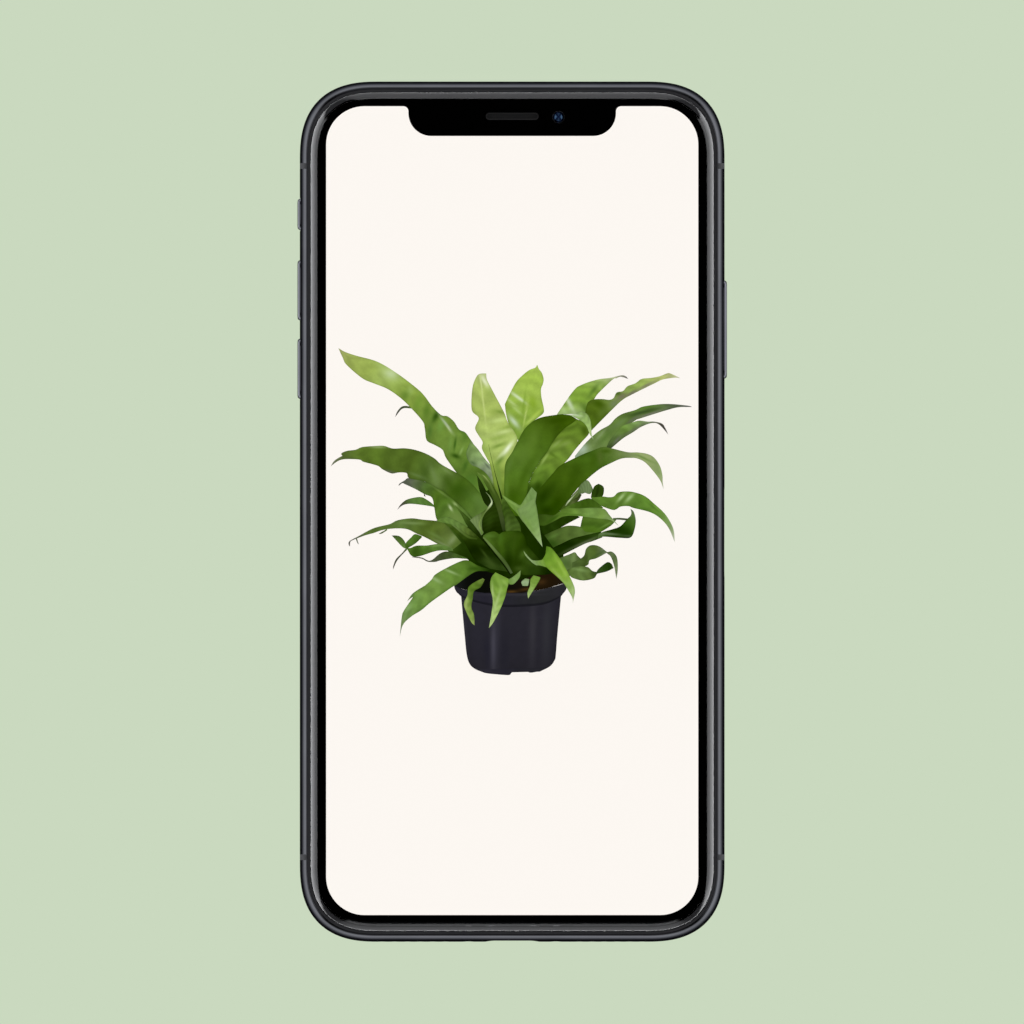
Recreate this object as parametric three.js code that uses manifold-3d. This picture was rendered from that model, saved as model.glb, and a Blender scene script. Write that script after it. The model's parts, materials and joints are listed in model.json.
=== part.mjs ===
// A notched smartphone lying on its back, in millimetres. +X runs to the side button, +Y to the notch,
// +Z out of the display. The origin is the middle of the back face, so the phone rests on z = 0.
import * as THREE from "three";
import { mergeVertices } from "three/addons/utils/BufferGeometryUtils.js";
import Module from "manifold-3d";

const wasm = await Module();
wasm.setup();

// ---------------------------------------------------------------- driving dimensions
const BODY = { width: 70.9, height: 143.6, thick: 7.7, corner: 13.1, power: 2.54 };
const MID_Z = BODY.thick / 2;
const HALF_W = BODY.width / 2;
const HALF_H = BODY.height / 2;
const CORNER_STEPS = 12; // straight steps in each corner

// The metal band bulges: in section it is half an ellipse on each side of a short flat waist.
const BAND = { bulge: 1.6, rise: 3.4, waist: 0.2, wall: 2.6, seat: 1.25, steps: 6 };
const LEDGE_FRONT_Z = 6.6;
const LEDGE_BACK_Z = BODY.thick - LEDGE_FRONT_Z;
const SPLIT = { y: 57.7, width: 0.95, seam: 0.02 }; // plastic strips that part the metal band

// Front and back glass are alike: flat plates whose rims round over.
const GLASS = { inset: 1.75, thick: 0.9, round: 1.25, drop: 0.55, steps: 4 };
const GASKET = { outer: 1.27, inner: 1.7, foot: 2.5, footThick: 0.16, height: 0.53 };

const DISPLAY = { width: 62.13, height: 135.03, rise: 0.17, corner: 6.4, top: 6.6, thick: 0.95, border: 0.8 };
const NOTCH = { width: 34.65, depth: 4.97, corner: 3.8, ear: 0.85 };
const MASK = { inset: 2.75, low: 6.7, high: 6.78 };
const BACKPLATE = { low: 5.5, high: 5.62 };

const EARPIECE = { y: 66.0, length: 8.93, width: 1.32, meshLow: 6.85, meshHigh: 7.35, meshPlay: 0.1 };
// The front camera is a round body with a lens well; its profiles are [radius, z] pairs.
const FRONT_CAMERA = {
  x: 7.73,
  y: 65.87,
  window: 2.1,
  body: [[0, 3.4], [2.3, 3.4], [2.3, 5.7], [1.5, 5.8], [1.5, 6.6], [0.95, 6.6], [0.95, 6.05], [0, 6.05]],
  lens: [[0, 6.1], [0.9, 6.1], [0.9, 6.3], [0.6, 6.5], [0, 6.58]],
};
// What sits behind the notch, each from low to high along X, Y and Z.
const NOTCH_PARTS = {
  earpiece_speaker: [[-6, 64.2, 3.4], [4.6, 68.8, 6.5]],
  face_sensor: [[-15.2, 64.4, 4.6], [-6.4, 68.6, 6.6]],
  proximity_sensor: [[11, 64.4, 4.6], [15.2, 68.6, 6.6]],
};

const SIDE_BUTTON = { y: 30.4, length: 16.43 };
const VOLUME_BUTTONS = { volume_up_button: 36.95, volume_down_button: 23.85 };
const VOLUME_LENGTH = 10.1;
const BUTTON = { height: 2.7, proud: 0.4, deep: 1.3, floor: 1.7, play: 0.15, stemLength: 4, stemHeight: 1.4 };
const CONTACT = { gap: 0.45, thick: 0.8, length: 6, height: 2.4 };
const RING_SWITCH = { y: 49.63, length: 5.26, height: 2.0, throw: 1.2, stem: 1.2 };

const TRAY = { y: -3.5, length: 14.6, height: 1.9, lip: 1.45, reach: 12.6, width: 13.2, thick: 0.9, play: 0.1 };
const TRAY_LIP_X = HALF_W - 0.03; // the lip's face, a hair inside the band's
const CARD = { length: 12.3, width: 8.8, thick: 0.67, rim: 1.4, play: 0.08, ledge: 0.2, overlap: 0.8 };
const EJECT_HOLE = { radius: 0.5, fromEnd: 2.2 };

const PORT = { width: 8.94, height: 3.2, wall: 0.3, depth: 7.3, recess: 0.35 };
const TONGUE = { width: 6.7, height: 0.7, reach: 4.5 };
const SCREW = { x: 7.3, head: 0.85, headDeep: 0.7, shaft: 0.55, length: 2.7, recess: 0.15, slot: 0.22 };
const VENT = { count: 6, first: 11.2, pitch: 2.1, radius: 0.65 };

const PLATE = { low: 1.4, high: 1.7, inset: 2.7 };
const ISLAND = { x: 23.4, y: 50, width: 13, height: 27.4, ring: 0.75, play: 0.05, deep: 0.85, plateHole: 0.6 };
const CAMERA_WINDOW = { low: 0.1, high: 0.75 };
// Each rear camera is a square module with a round barrel; spread runs from the island's middle.
const REAR_CAMERA = {
  spread: 7,
  half: 5.2,
  low: 1.75,
  high: 5.2,
  barrel: 4.3,
  barrelLow: 0.85,
  well: [[0, 0], [3.4, 0], [3.4, 1], [1.5, 1.5], [0, 1.5]],
  lens: [[0, 0.86], [1.9, 0.95], [2.2, 1.05], [1.4, 1.45], [0, 1.45]],
};
const FLASH = { right: 3.2, radius: 1.9, low: 0.8, high: 1.65 };

// What fills the inside. The battery is an L of two cells in one wrap.
const BATTERY = {
  low: 1.8,
  high: 5.25,
  cells: [
    { x: -11.5, y: 4.5, width: 39, height: 98 },
    { x: 0, y: -38, width: 62, height: 18 },
  ],
};
const INSIDE_STEEL = {
  shield_can: [[11, 6.5, 2.6], [30.6, 33.8, 4.4]],
  haptic_motor: [[-30.5, -62.5, 1.8], [-7.5, -51, 5.2]],
};
const INSIDE_PLASTIC = {
  loudspeaker: [[7.5, -68.8, 1.8], [24, -51, 5.2]],
  bottom_microphone: [[-24, -68.8, 2.6], [-9, -65, 5.1]],
};
const LOGIC_BOARD = { logic_board: [[10.3, -26, 1.85], [31.2, 34.5, 2.55]] };
const COIL = { y: -6, outer: 22, inner: 12, low: 0.93, high: 1.33 };
const READER = { inner: 18.6, outer: 32.7, height: 1.7, clear: 0.3, wall: 0.2 };

// ---------------------------------------------------------------- materials
const finish = (color, roughness, metalness, extra = {}) =>
  new THREE.MeshStandardMaterial({ color, roughness, metalness, ...extra });

const FINISHES = {
  graphite_metal: finish(0x3a3a3e, 0.28, 1),
  antenna_plastic: finish(0x2a2a2c, 0.5, 0),
  cover_glass: finish(0x101214, 0.05, 0, { transparent: true, opacity: 0.2 }),
  gasket: finish(0x0a0a0a, 0.7, 0),
  bezel_ink: finish(0x020202, 0.4, 0),
  display: finish(0xfcf6f1, 0.4, 0),
  steel: finish(0x9a9ca0, 0.35, 1),
  back_glass: finish(0x2c2d31, 0.12, 0),
  battery_wrap: finish(0x1d1e20, 0.55, 0),
  circuit_board: finish(0x14211b, 0.5, 0),
  black_plastic: finish(0x141415, 0.5, 0),
  card_plastic: finish(0xd9dadb, 0.45, 0),
  copper: finish(0xb0683a, 0.4, 1),
  lens_glass: finish(0x0a1426, 0.05, 0),
  flash_diffuser: finish(0xf1e7bd, 0.4, 0),
};

// ---------------------------------------------------------------- shapes
/** A closed three.js geometry as a solid that can be cut and joined. */
function solidOf(geometry) {
  const bare = geometry.index ? geometry.toNonIndexed() : geometry.clone();
  bare.deleteAttribute("normal");
  bare.deleteAttribute("uv");
  const merged = mergeVertices(bare, 1e-4);
  const vertProperties = merged.attributes.position.array;
  const triVerts = new Uint32Array(merged.index.array);
  return new wasm.Manifold(new wasm.Mesh({ numProp: 3, vertProperties, triVerts }));
}

/** A solid back as a three.js geometry. */
function geometryOf(solid) {
  const { vertProperties, triVerts } = solid.getMesh();
  const geometry = new THREE.BufferGeometry();
  geometry.setAttribute("position", new THREE.BufferAttribute(vertProperties, 3));
  geometry.setIndex(new THREE.BufferAttribute(triVerts, 1));
  return geometry;
}

/** The outline of a rectangle whose corners are quarters of the superellipse |x|^power + |y|^power. */
function roundedOutline(width, height, corner, power = 2, steps = CORNER_STEPS) {
  const points = [];
  const ease = (value) => Math.sign(value) * Math.abs(value) ** (2 / power);
  for (let quarter = 0; quarter < 4; quarter++) {
    const right = quarter === 0 || quarter === 3 ? 1 : -1;
    const up = quarter < 2 ? 1 : -1;
    for (let step = 0; step <= steps; step++) {
      const angle = ((quarter + step / steps) * Math.PI) / 2;
      const x = right * (width / 2 - corner) + corner * ease(Math.cos(angle));
      const y = up * (height / 2 - corner) + corner * ease(Math.sin(angle));
      points.push(new THREE.Vector2(x, y));
    }
  }
  return points.filter((p, i) => p.distanceTo(points[(i + 1) % points.length]) > 1e-6);
}

/** The phone's own outline, taken in by inset. */
const bodyOutline = (inset) =>
  roundedOutline(BODY.width - 2 * inset, BODY.height - 2 * inset, BODY.corner - inset, BODY.power);

/** A pill outline: a rectangle with half-round ends. */
const pillOutline = (length, width) =>
  roundedOutline(length, width, Math.min(length, width) / 2 - 1e-3, 2, 6);

/** The lit area's outline with its notch, grown outwards by grow. */
function displayOutline(grow = 0) {
  const right = DISPLAY.width / 2 + grow;
  const top = DISPLAY.rise + DISPLAY.height / 2 + grow;
  const bottom = DISPLAY.rise - DISPLAY.height / 2 - grow;
  const corner = DISPLAY.corner + grow;
  const side = NOTCH.width / 2 - grow;
  const ear = NOTCH.ear + grow;
  const round = NOTCH.corner - grow;
  const floor = DISPLAY.rise + DISPLAY.height / 2 - NOTCH.depth + grow;
  const turn = Math.PI / 2;
  const path = new THREE.Path();
  path.absarc(right - corner, bottom + corner, corner, -turn, 0);
  path.absarc(right - corner, top - corner, corner, 0, turn);
  path.absarc(side + ear, top - ear, ear, turn, 2 * turn);
  path.absarc(side - round, floor + round, round, 0, -turn, true);
  path.absarc(round - side, floor + round, round, -turn, -2 * turn, true);
  path.absarc(-side - ear, top - ear, ear, 0, turn);
  path.absarc(corner - right, top - corner, corner, turn, 2 * turn);
  path.absarc(corner - right, bottom + corner, corner, 2 * turn, 3 * turn);
  const points = path.getPoints(5);
  return points.filter((p, i) => p.distanceTo(points[(i + 1) % points.length]) > 1e-4);
}

/** An outline in XY made solid between two heights; rim rounds both its edges over. */
function slab(outline, low, high, rim = null) {
  const settings = { depth: high - low, bevelEnabled: false };
  if (rim) {
    settings.depth = high - low - 2 * rim.drop;
    settings.bevelEnabled = true;
    settings.bevelSize = rim.round;
    settings.bevelOffset = -rim.round;
    settings.bevelThickness = rim.drop;
    settings.bevelSegments = rim.steps;
  }
  const geometry = new THREE.ExtrudeGeometry(new THREE.Shape(outline), settings);
  return solidOf(geometry.translate(0, 0, low + (rim ? rim.drop : 0)));
}

/** An outline made solid along X: its first direction lies along Y and its second along Z. */
function sideSlab(outline, y, z, fromX, toX) {
  const low = Math.min(fromX, toX);
  const geometry = new THREE.ExtrudeGeometry(new THREE.Shape(outline), {
    depth: Math.abs(toX - fromX),
    bevelEnabled: false,
  });
  geometry.rotateX(Math.PI / 2).rotateZ(Math.PI / 2);
  return solidOf(geometry.translate(low, y, z));
}

/** An outline made solid along Y: its first direction lies along X and its second along Z. */
function endSlab(outline, x, z, fromY, toY) {
  const geometry = new THREE.ExtrudeGeometry(new THREE.Shape(outline), {
    depth: Math.abs(toY - fromY),
    bevelEnabled: false,
  });
  geometry.rotateX(Math.PI / 2);
  return solidOf(geometry.translate(x, Math.max(fromY, toY), z));
}

/** A box between two corners. */
function block([x0, y0, z0], [x1, y1, z1]) {
  const geometry = new THREE.BoxGeometry(x1 - x0, y1 - y0, z1 - z0);
  return solidOf(geometry.translate((x0 + x1) / 2, (y0 + y1) / 2, (z0 + z1) / 2));
}

/** Named boxes, from a table of their low and high corners. */
const blocksOf = (table) =>
  Object.fromEntries(Object.entries(table).map(([name, [low, high]]) => [name, block(low, high)]));

/** A round piece about Z, from a profile of [radius, z] pairs that starts and ends on the axis. */
function turned(profile, x, y, sides = 24) {
  const geometry = new THREE.LatheGeometry(profile.map(([r, z]) => new THREE.Vector2(r, z)), sides);
  return solidOf(geometry.rotateX(Math.PI / 2).translate(x, y, 0));
}

/** A plain disc about Z. */
const disc = (radius, low, high, x, y, sides = 24) =>
  turned([[0, low], [radius, low], [radius, high], [0, high]], x, y, sides);

/** A round bar along Y. */
function endBar(radius, x, z, fromY, toY, sides = 12) {
  const geometry = new THREE.CylinderGeometry(radius, radius, Math.abs(toY - fromY), sides);
  return solidOf(geometry.translate(x, (fromY + toY) / 2, z));
}

/** The part of a solid that lies between two heights. */
const between = (solid, low, high) =>
  solid.intersect(block([-HALF_W - 5, -HALF_H - 5, low], [HALF_W + 5, HALF_H + 5, high]));

// ---------------------------------------------------------------- the metal band
const OUTSIDE = 5; // clear of the body's outline, for cutters

/** The full band before it is parted: a bulged ring with a ledge for each glass. */
function bandRing() {
  const low = MID_Z - BAND.rise - BAND.waist / 2;
  const high = MID_Z + BAND.rise + BAND.waist / 2;
  const rim = { round: BAND.bulge, drop: BAND.rise, steps: BAND.steps };
  const seat = bodyOutline(BAND.seat);
  return slab(bodyOutline(0), low, high, rim)
    .subtract(slab(bodyOutline(BAND.wall), -1, BODY.thick + 1))
    .subtract(slab(seat, LEDGE_FRONT_Z, BODY.thick + 1))
    .subtract(slab(seat, -1, LEDGE_BACK_Z));
}

/** A pocket for a push button: a recess for its cap and a hole for its stem. side is 1 or -1 for +X or -X. */
function buttonPocket(side, y, length) {
  const play = 2 * BUTTON.play;
  const floor = side * (HALF_W - BUTTON.floor);
  const cap = pillOutline(length + play, BUTTON.height + play);
  const stem = roundedOutline(BUTTON.stemLength + play, BUTTON.stemHeight + play, 0.3, 2, 2);
  return sideSlab(cap, y, MID_Z, floor, side * (HALF_W + OUTSIDE)).add(
    sideSlab(stem, y, MID_Z, side * (HALF_W - OUTSIDE), floor + side * 0.1),
  );
}

/** The recess of the ring switch, tall enough for its throw. */
function switchPocket() {
  const play = 2 * BUTTON.play;
  const floor = -(HALF_W - BUTTON.floor);
  const tall = RING_SWITCH.height + RING_SWITCH.throw + play;
  const knob = roundedOutline(RING_SWITCH.length + play, tall, RING_SWITCH.height / 2 + BUTTON.play, 2, 6);
  const stem = pillOutline(RING_SWITCH.stem + play, RING_SWITCH.stem + RING_SWITCH.throw + play);
  return sideSlab(knob, RING_SWITCH.y, MID_Z, -(HALF_W + OUTSIDE), floor).add(
    sideSlab(stem, RING_SWITCH.y, MID_Z, floor - 0.1, -(HALF_W - OUTSIDE)),
  );
}

/** X positions of one side's row of vents. */
const ventPlaces = (side) =>
  Array.from({ length: VENT.count }, (_, i) => side * (VENT.first + i * VENT.pitch));

/** What is cut out of the bottom of the band: the port, two screw seats and two rows of vents. */
function bottomCuts() {
  const outer = -(HALF_H + OUTSIDE);
  const inner = -(HALF_H - OUTSIDE);
  let cuts = endSlab(pillOutline(PORT.width + 0.1, PORT.height + 0.1), 0, MID_Z, outer, inner);
  for (const side of [-1, 1]) {
    const x = side * SCREW.x;
    const seat = -(HALF_H - SCREW.recess - SCREW.headDeep - 0.05);
    cuts = cuts
      .add(endBar(SCREW.head + 0.08, x, MID_Z, outer, seat, 16))
      .add(endBar(SCREW.shaft + 0.08, x, MID_Z, outer, inner, 12));
    for (const vent of ventPlaces(side)) cuts = cuts.add(endBar(VENT.radius, vent, MID_Z, outer, inner));
  }
  return cuts;
}

/** The slot that the tray slides in. */
function traySlot() {
  const play = 2 * TRAY.play;
  const mouth = pillOutline(TRAY.length + play, TRAY.height + play);
  return sideSlab(mouth, TRAY.y, MID_Z, HALF_W - OUTSIDE, HALF_W + OUTSIDE);
}

/** The band in four lengths, and the plastic strips that part them. */
function bandPieces() {
  const ring = bandRing()
    .subtract(buttonPocket(1, SIDE_BUTTON.y, SIDE_BUTTON.length))
    .subtract(buttonPocket(-1, VOLUME_BUTTONS.volume_up_button, VOLUME_LENGTH))
    .subtract(buttonPocket(-1, VOLUME_BUTTONS.volume_down_button, VOLUME_LENGTH))
    .subtract(switchPocket())
    .subtract(traySlot())
    .subtract(bottomCuts());
  const far = HALF_W + OUTSIDE;
  const top = HALF_H + OUTSIDE;
  const cut = SPLIT.y + SPLIT.width / 2;
  const foot = SPLIT.y - SPLIT.width / 2;
  const area = (x0, x1, y0, y1) => ring.intersect(block([x0, y0, -1], [x1, y1, BODY.thick + 1]));
  const stripLow = foot + SPLIT.seam;
  const stripHigh = cut - SPLIT.seam;
  return {
    graphite_metal: {
      band_top: area(-far, far, cut, top),
      band_bottom: area(-far, far, -top, -cut),
      band_left: area(-far, 0, -foot, foot),
      band_right: area(0, far, -foot, foot),
    },
    antenna_plastic: {
      antenna_strip_left_top: area(-far, 0, stripLow, stripHigh),
      antenna_strip_right_top: area(0, far, stripLow, stripHigh),
      antenna_strip_left_bottom: area(-far, 0, -stripHigh, -stripLow),
      antenna_strip_right_bottom: area(0, far, -stripHigh, -stripLow),
    },
  };
}

// ---------------------------------------------------------------- the front
const glassRim = { round: GLASS.round, drop: GLASS.drop, steps: GLASS.steps };

/** A glass plate rounded over on its upper rim, as the cover glass lies. */
function glassPlate() {
  const low = BODY.thick - GLASS.thick;
  return between(slab(bodyOutline(GLASS.inset), low - 2, BODY.thick, glassRim), low, BODY.thick + 1);
}

/** The L-shaped seal round a glass: a foot under its edge and an upright beside it. */
function gasketRing() {
  const low = LEDGE_FRONT_Z + 0.02;
  const upright = slab(bodyOutline(GASKET.outer), low, low + GASKET.height);
  return upright
    .subtract(slab(bodyOutline(GASKET.inner), low + GASKET.footThick, BODY.thick))
    .subtract(slab(bodyOutline(GASKET.foot), 0, BODY.thick));
}

/** The same solid turned over front to back, about the body's middle height. */
const turnedOver = (solid) => solid.mirror([0, 0, 1]).translate([0, 0, BODY.thick]);

/** The earpiece's slot as a solid, grown on its sides. */
function earSlot(grow, low = 0, high = BODY.thick + 1) {
  const outline = pillOutline(EARPIECE.length + 2 * grow, EARPIECE.width + 2 * grow);
  return slab(outline, low, high).translate([0, EARPIECE.y, 0]);
}

/** The black ink under the cover glass: open over the lit area, the earpiece and the front camera. */
function bezelMask() {
  const { x, y, window } = FRONT_CAMERA;
  return slab(bodyOutline(MASK.inset), MASK.low, MASK.high)
    .subtract(slab(displayOutline(), 0, BODY.thick))
    .subtract(earSlot(0))
    .subtract(disc(window / 2, 0, BODY.thick, x, y));
}

function frontPieces() {
  const { x, y, body, lens } = FRONT_CAMERA;
  const panelLow = DISPLAY.top - DISPLAY.thick;
  return {
    cover_glass: { cover_glass: glassPlate().subtract(earSlot(0)) },
    gasket: { front_gasket: gasketRing() },
    bezel_ink: { bezel_mask: bezelMask() },
    display: { display_panel: slab(displayOutline(DISPLAY.border), panelLow, DISPLAY.top) },
    steel: {
      display_backplate: slab(displayOutline(DISPLAY.border), BACKPLATE.low, BACKPLATE.high),
      earpiece_mesh: earSlot(-EARPIECE.meshPlay, EARPIECE.meshLow, EARPIECE.meshHigh),
    },
    black_plastic: { ...blocksOf(NOTCH_PARTS), front_camera: turned(body, x, y) },
    lens_glass: { front_lens: turned(lens, x, y) },
  };
}

// ---------------------------------------------------------------- the back
/** The camera island's pill shape as a solid, grown on its sides. */
function island(grow, low = -1, high = BODY.thick) {
  const outline = pillOutline(ISLAND.width + 2 * grow, ISLAND.height + 2 * grow);
  return slab(outline, low, high).translate([ISLAND.x, ISLAND.y, 0]);
}

/** A rear camera, which looks out of the back through the camera window. */
function rearCamera(y) {
  const { half, low, high, barrel, barrelLow, well } = REAR_CAMERA;
  const x = ISLAND.x;
  return block([x - half, y - half, low], [x + half, y + half, high])
    .add(disc(barrel, barrelLow, low + 0.1, x, y, 32))
    .subtract(turned(well, x, y, 32));
}

/** The thin plate behind the back glass, open at the cameras. */
const chassisPlate = () =>
  slab(bodyOutline(PLATE.inset), PLATE.low, PLATE.high).subtract(island(-ISLAND.plateHole));

/** The flat coil that takes charge through the back glass. */
const chargingCoil = () =>
  disc(COIL.outer, COIL.low, COIL.high, 0, COIL.y, 40).subtract(disc(COIL.inner, 0, 2, 0, COIL.y, 40));

function backPieces() {
  const { spread, lens } = REAR_CAMERA;
  const upper = ISLAND.y + spread;
  const lower = ISLAND.y - spread;
  const flash = disc(FLASH.radius, FLASH.low, FLASH.high, ISLAND.x + FLASH.right, ISLAND.y);
  return {
    back_glass: { back_glass: turnedOver(glassPlate()).subtract(island(0)) },
    gasket: { rear_gasket: turnedOver(gasketRing()) },
    graphite_metal: {
      camera_surround: island(-ISLAND.play, 0, ISLAND.deep).subtract(island(-ISLAND.ring)),
    },
    lens_glass: {
      camera_window: island(-ISLAND.ring - ISLAND.play, CAMERA_WINDOW.low, CAMERA_WINDOW.high),
      rear_lens_upper: turned(lens, ISLAND.x, upper),
      rear_lens_lower: turned(lens, ISLAND.x, lower),
    },
    black_plastic: { rear_camera_upper: rearCamera(upper), rear_camera_lower: rearCamera(lower) },
    flash_diffuser: { flash_module: flash },
    steel: { chassis_plate: chassisPlate() },
    copper: { charging_coil: chargingCoil() },
  };
}

// ---------------------------------------------------------------- buttons, switch and tray
/** A push button: a pill-shaped cap that stands proud of the band, and the stem behind it. */
function pushButton(side, y, length) {
  const inner = side * (HALF_W - BUTTON.deep);
  const cap = sideSlab(pillOutline(length, BUTTON.height), y, MID_Z, inner, side * (HALF_W + BUTTON.proud));
  const stem = roundedOutline(BUTTON.stemLength, BUTTON.stemHeight, 0.3, 2, 2);
  return cap.add(sideSlab(stem, y, MID_Z, side * (HALF_W - BAND.wall - 0.1), inner + side * 0.1));
}

/** The contact block that a stem reaches when it is pressed. */
function contact(side, y, length = CONTACT.length) {
  const outer = HALF_W - BAND.wall - CONTACT.gap;
  const xs = [side * outer, side * (outer - CONTACT.thick)].sort((a, b) => a - b);
  const z = CONTACT.height / 2;
  return block([xs[0], y - length / 2, MID_Z - z], [xs[1], y + length / 2, MID_Z + z]);
}

/** The ring switch's knob, at the front end of its throw, with the stem behind it. */
function ringSwitch() {
  const z = MID_Z + RING_SWITCH.throw / 2;
  const inner = -(HALF_W - BUTTON.deep);
  const knob = pillOutline(RING_SWITCH.length, RING_SWITCH.height);
  const stem = pillOutline(RING_SWITCH.stem, RING_SWITCH.stem);
  return sideSlab(knob, RING_SWITCH.y, z, -(HALF_W + BUTTON.proud), inner).add(
    sideSlab(stem, RING_SWITCH.y, z, inner - 0.1, -(HALF_W - BAND.wall - 0.1)),
  );
}

/** The SIM tray: a lip that closes the slot and a carrier with a pocket for the card. */
function simTray() {
  const lipIn = TRAY_LIP_X - TRAY.lip;
  const carrierIn = lipIn - TRAY.reach;
  const low = MID_Z - TRAY.thick / 2;
  const half = TRAY.width / 2;
  const eject = TRAY.y - TRAY.length / 2 + EJECT_HOLE.fromEnd;
  const hole = new THREE.CylinderGeometry(EJECT_HOLE.radius, EJECT_HOLE.radius, 2, 12);
  hole.rotateZ(Math.PI / 2).translate(HALF_W, eject, MID_Z);
  return sideSlab(pillOutline(TRAY.length, TRAY.height), TRAY.y, MID_Z, lipIn, TRAY_LIP_X)
    .add(block([carrierIn, TRAY.y - half, low], [lipIn + 0.1, TRAY.y + half, low + TRAY.thick]))
    .subtract(cardSpace(CARD.play, low + CARD.ledge, BODY.thick))
    .subtract(cardSpace(-CARD.overlap, 0, BODY.thick))
    .subtract(solidOf(hole));
}

/** The card's place in the tray as a box, grown on its sides. */
function cardSpace(grow, low, high) {
  const outer = TRAY_LIP_X - TRAY.lip - CARD.rim + grow;
  const half = CARD.length / 2 + grow;
  return block([outer - CARD.width - 2 * grow, TRAY.y - half, low], [outer, TRAY.y + half, high]);
}

/** The metal cage on the circuit board that the tray slides into. */
function simReader() {
  const { inner, outer, wall } = READER;
  const half = TRAY.width / 2 + READER.clear;
  const low = MID_Z - READER.height / 2;
  const high = MID_Z + READER.height / 2;
  const cage = block([inner, TRAY.y - half - wall, low - wall], [outer, TRAY.y + half + wall, high + wall]);
  return cage.subtract(block([inner + wall, TRAY.y - half, low], [outer + 1, TRAY.y + half, high]));
}

function controlPieces() {
  const volume = Object.entries(VOLUME_BUTTONS).map(([name, y]) => [name, pushButton(-1, y, VOLUME_LENGTH)]);
  const cardLow = MID_Z - TRAY.thick / 2 + CARD.ledge + 0.02;
  const volumeMiddle = (VOLUME_BUTTONS.volume_up_button + VOLUME_BUTTONS.volume_down_button) / 2;
  return {
    graphite_metal: {
      side_button: pushButton(1, SIDE_BUTTON.y, SIDE_BUTTON.length),
      ...Object.fromEntries(volume),
      ring_switch: ringSwitch(),
      sim_tray: simTray(),
    },
    black_plastic: {
      side_contact: contact(1, SIDE_BUTTON.y),
      volume_contacts: contact(-1, volumeMiddle, 20),
      ring_switch_contact: contact(-1, RING_SWITCH.y, 4),
    },
    card_plastic: { sim_card: cardSpace(0, cardLow, cardLow + CARD.thick) },
    steel: { sim_reader: simReader() },
  };
}

// ---------------------------------------------------------------- bottom end
/** The charging socket's shell: a pill-shaped tube, closed at its inner end. */
function portShell() {
  const mouth = -(HALF_H - PORT.recess);
  const shell = endSlab(pillOutline(PORT.width, PORT.height), 0, MID_Z, mouth, mouth + PORT.depth);
  const inside = pillOutline(PORT.width - 2 * PORT.wall, PORT.height - 2 * PORT.wall);
  return shell.subtract(endSlab(inside, 0, MID_Z, mouth - 1, mouth + PORT.depth - PORT.wall));
}

/** The contact tongue in the middle of the socket. */
function portTongue() {
  const back = -(HALF_H - PORT.recess) + PORT.depth - PORT.wall - 0.02;
  const z = TONGUE.height / 2;
  return block([-TONGUE.width / 2, back - TONGUE.reach, MID_Z - z], [TONGUE.width / 2, back, MID_Z + z]);
}

/** A case screw: a round head with a cross recess, and a plain shaft. */
function caseScrew(x) {
  const face = -(HALF_H - SCREW.recess);
  const seat = face + SCREW.headDeep;
  const half = SCREW.slot / 2;
  const reach = SCREW.head * 0.7;
  const deep = face + 0.35;
  return endBar(SCREW.head, x, MID_Z, face, seat, 16)
    .add(endBar(SCREW.shaft, x, MID_Z, seat - 0.1, face + SCREW.length, 10))
    .subtract(block([x - reach, face - 1, MID_Z - half], [x + reach, deep, MID_Z + half]))
    .subtract(block([x - half, face - 1, MID_Z - reach], [x + half, deep, MID_Z + reach]));
}

/** The fine mesh behind one side's vents. */
function ventMesh(side) {
  const first = side * (VENT.first - 1);
  const last = side * (VENT.first + VENT.pitch * (VENT.count - 1) + 1);
  const y = -(HALF_H - BAND.wall);
  return block([Math.min(first, last), y + 0.05, MID_Z - 1], [Math.max(first, last), y + 0.2, MID_Z + 1]);
}

function bottomPieces() {
  return {
    steel: {
      charging_port: portShell(),
      case_screw_left: caseScrew(-SCREW.x),
      case_screw_right: caseScrew(SCREW.x),
      microphone_mesh: ventMesh(-1),
      speaker_mesh: ventMesh(1),
    },
    black_plastic: { port_tongue: portTongue() },
  };
}

// ---------------------------------------------------------------- inside
function insidePieces() {
  const soft = { round: 0.8, drop: 0.8, steps: 2 };
  const [long, short] = BATTERY.cells.map((cell) => {
    const outline = roundedOutline(cell.width, cell.height, 2.5, 2, 4);
    return slab(outline, BATTERY.low, BATTERY.high, soft).translate([cell.x, cell.y, 0]);
  });
  return {
    battery_wrap: { battery: long.add(short) },
    circuit_board: blocksOf(LOGIC_BOARD),
    steel: blocksOf(INSIDE_STEEL),
    black_plastic: blocksOf(INSIDE_PLASTIC),
  };
}

// ---------------------------------------------------------------- the whole phone
function buildPhone() {
  const phone = new THREE.Group();
  phone.name = "smartphone";
  const assemblies = [bandPieces, frontPieces, backPieces, controlPieces, bottomPieces, insidePieces];
  for (const assembly of assemblies.map((make) => make())) {
    for (const [material, pieces] of Object.entries(assembly)) {
      for (const [name, solid] of Object.entries(pieces)) {
        const mesh = new THREE.Mesh(geometryOf(solid), FINISHES[material]);
        mesh.name = name;
        phone.add(mesh);
      }
    }
  }
  return phone;
}

export default buildPhone();
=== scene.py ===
"""The looks of a smartphone that lies on its back and shows a potted fern on its lit display.

Every piece is modelled in millimetres in the phone's own frame, from the same driving
dimensions as its solids, and is brought to metres when it is settled.
"""

import json
import logging
import math
from dataclasses import dataclass, field
from enum import Enum
from typing import Callable, Iterable, Sequence

import bmesh
import bpy
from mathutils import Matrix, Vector, noise

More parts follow.
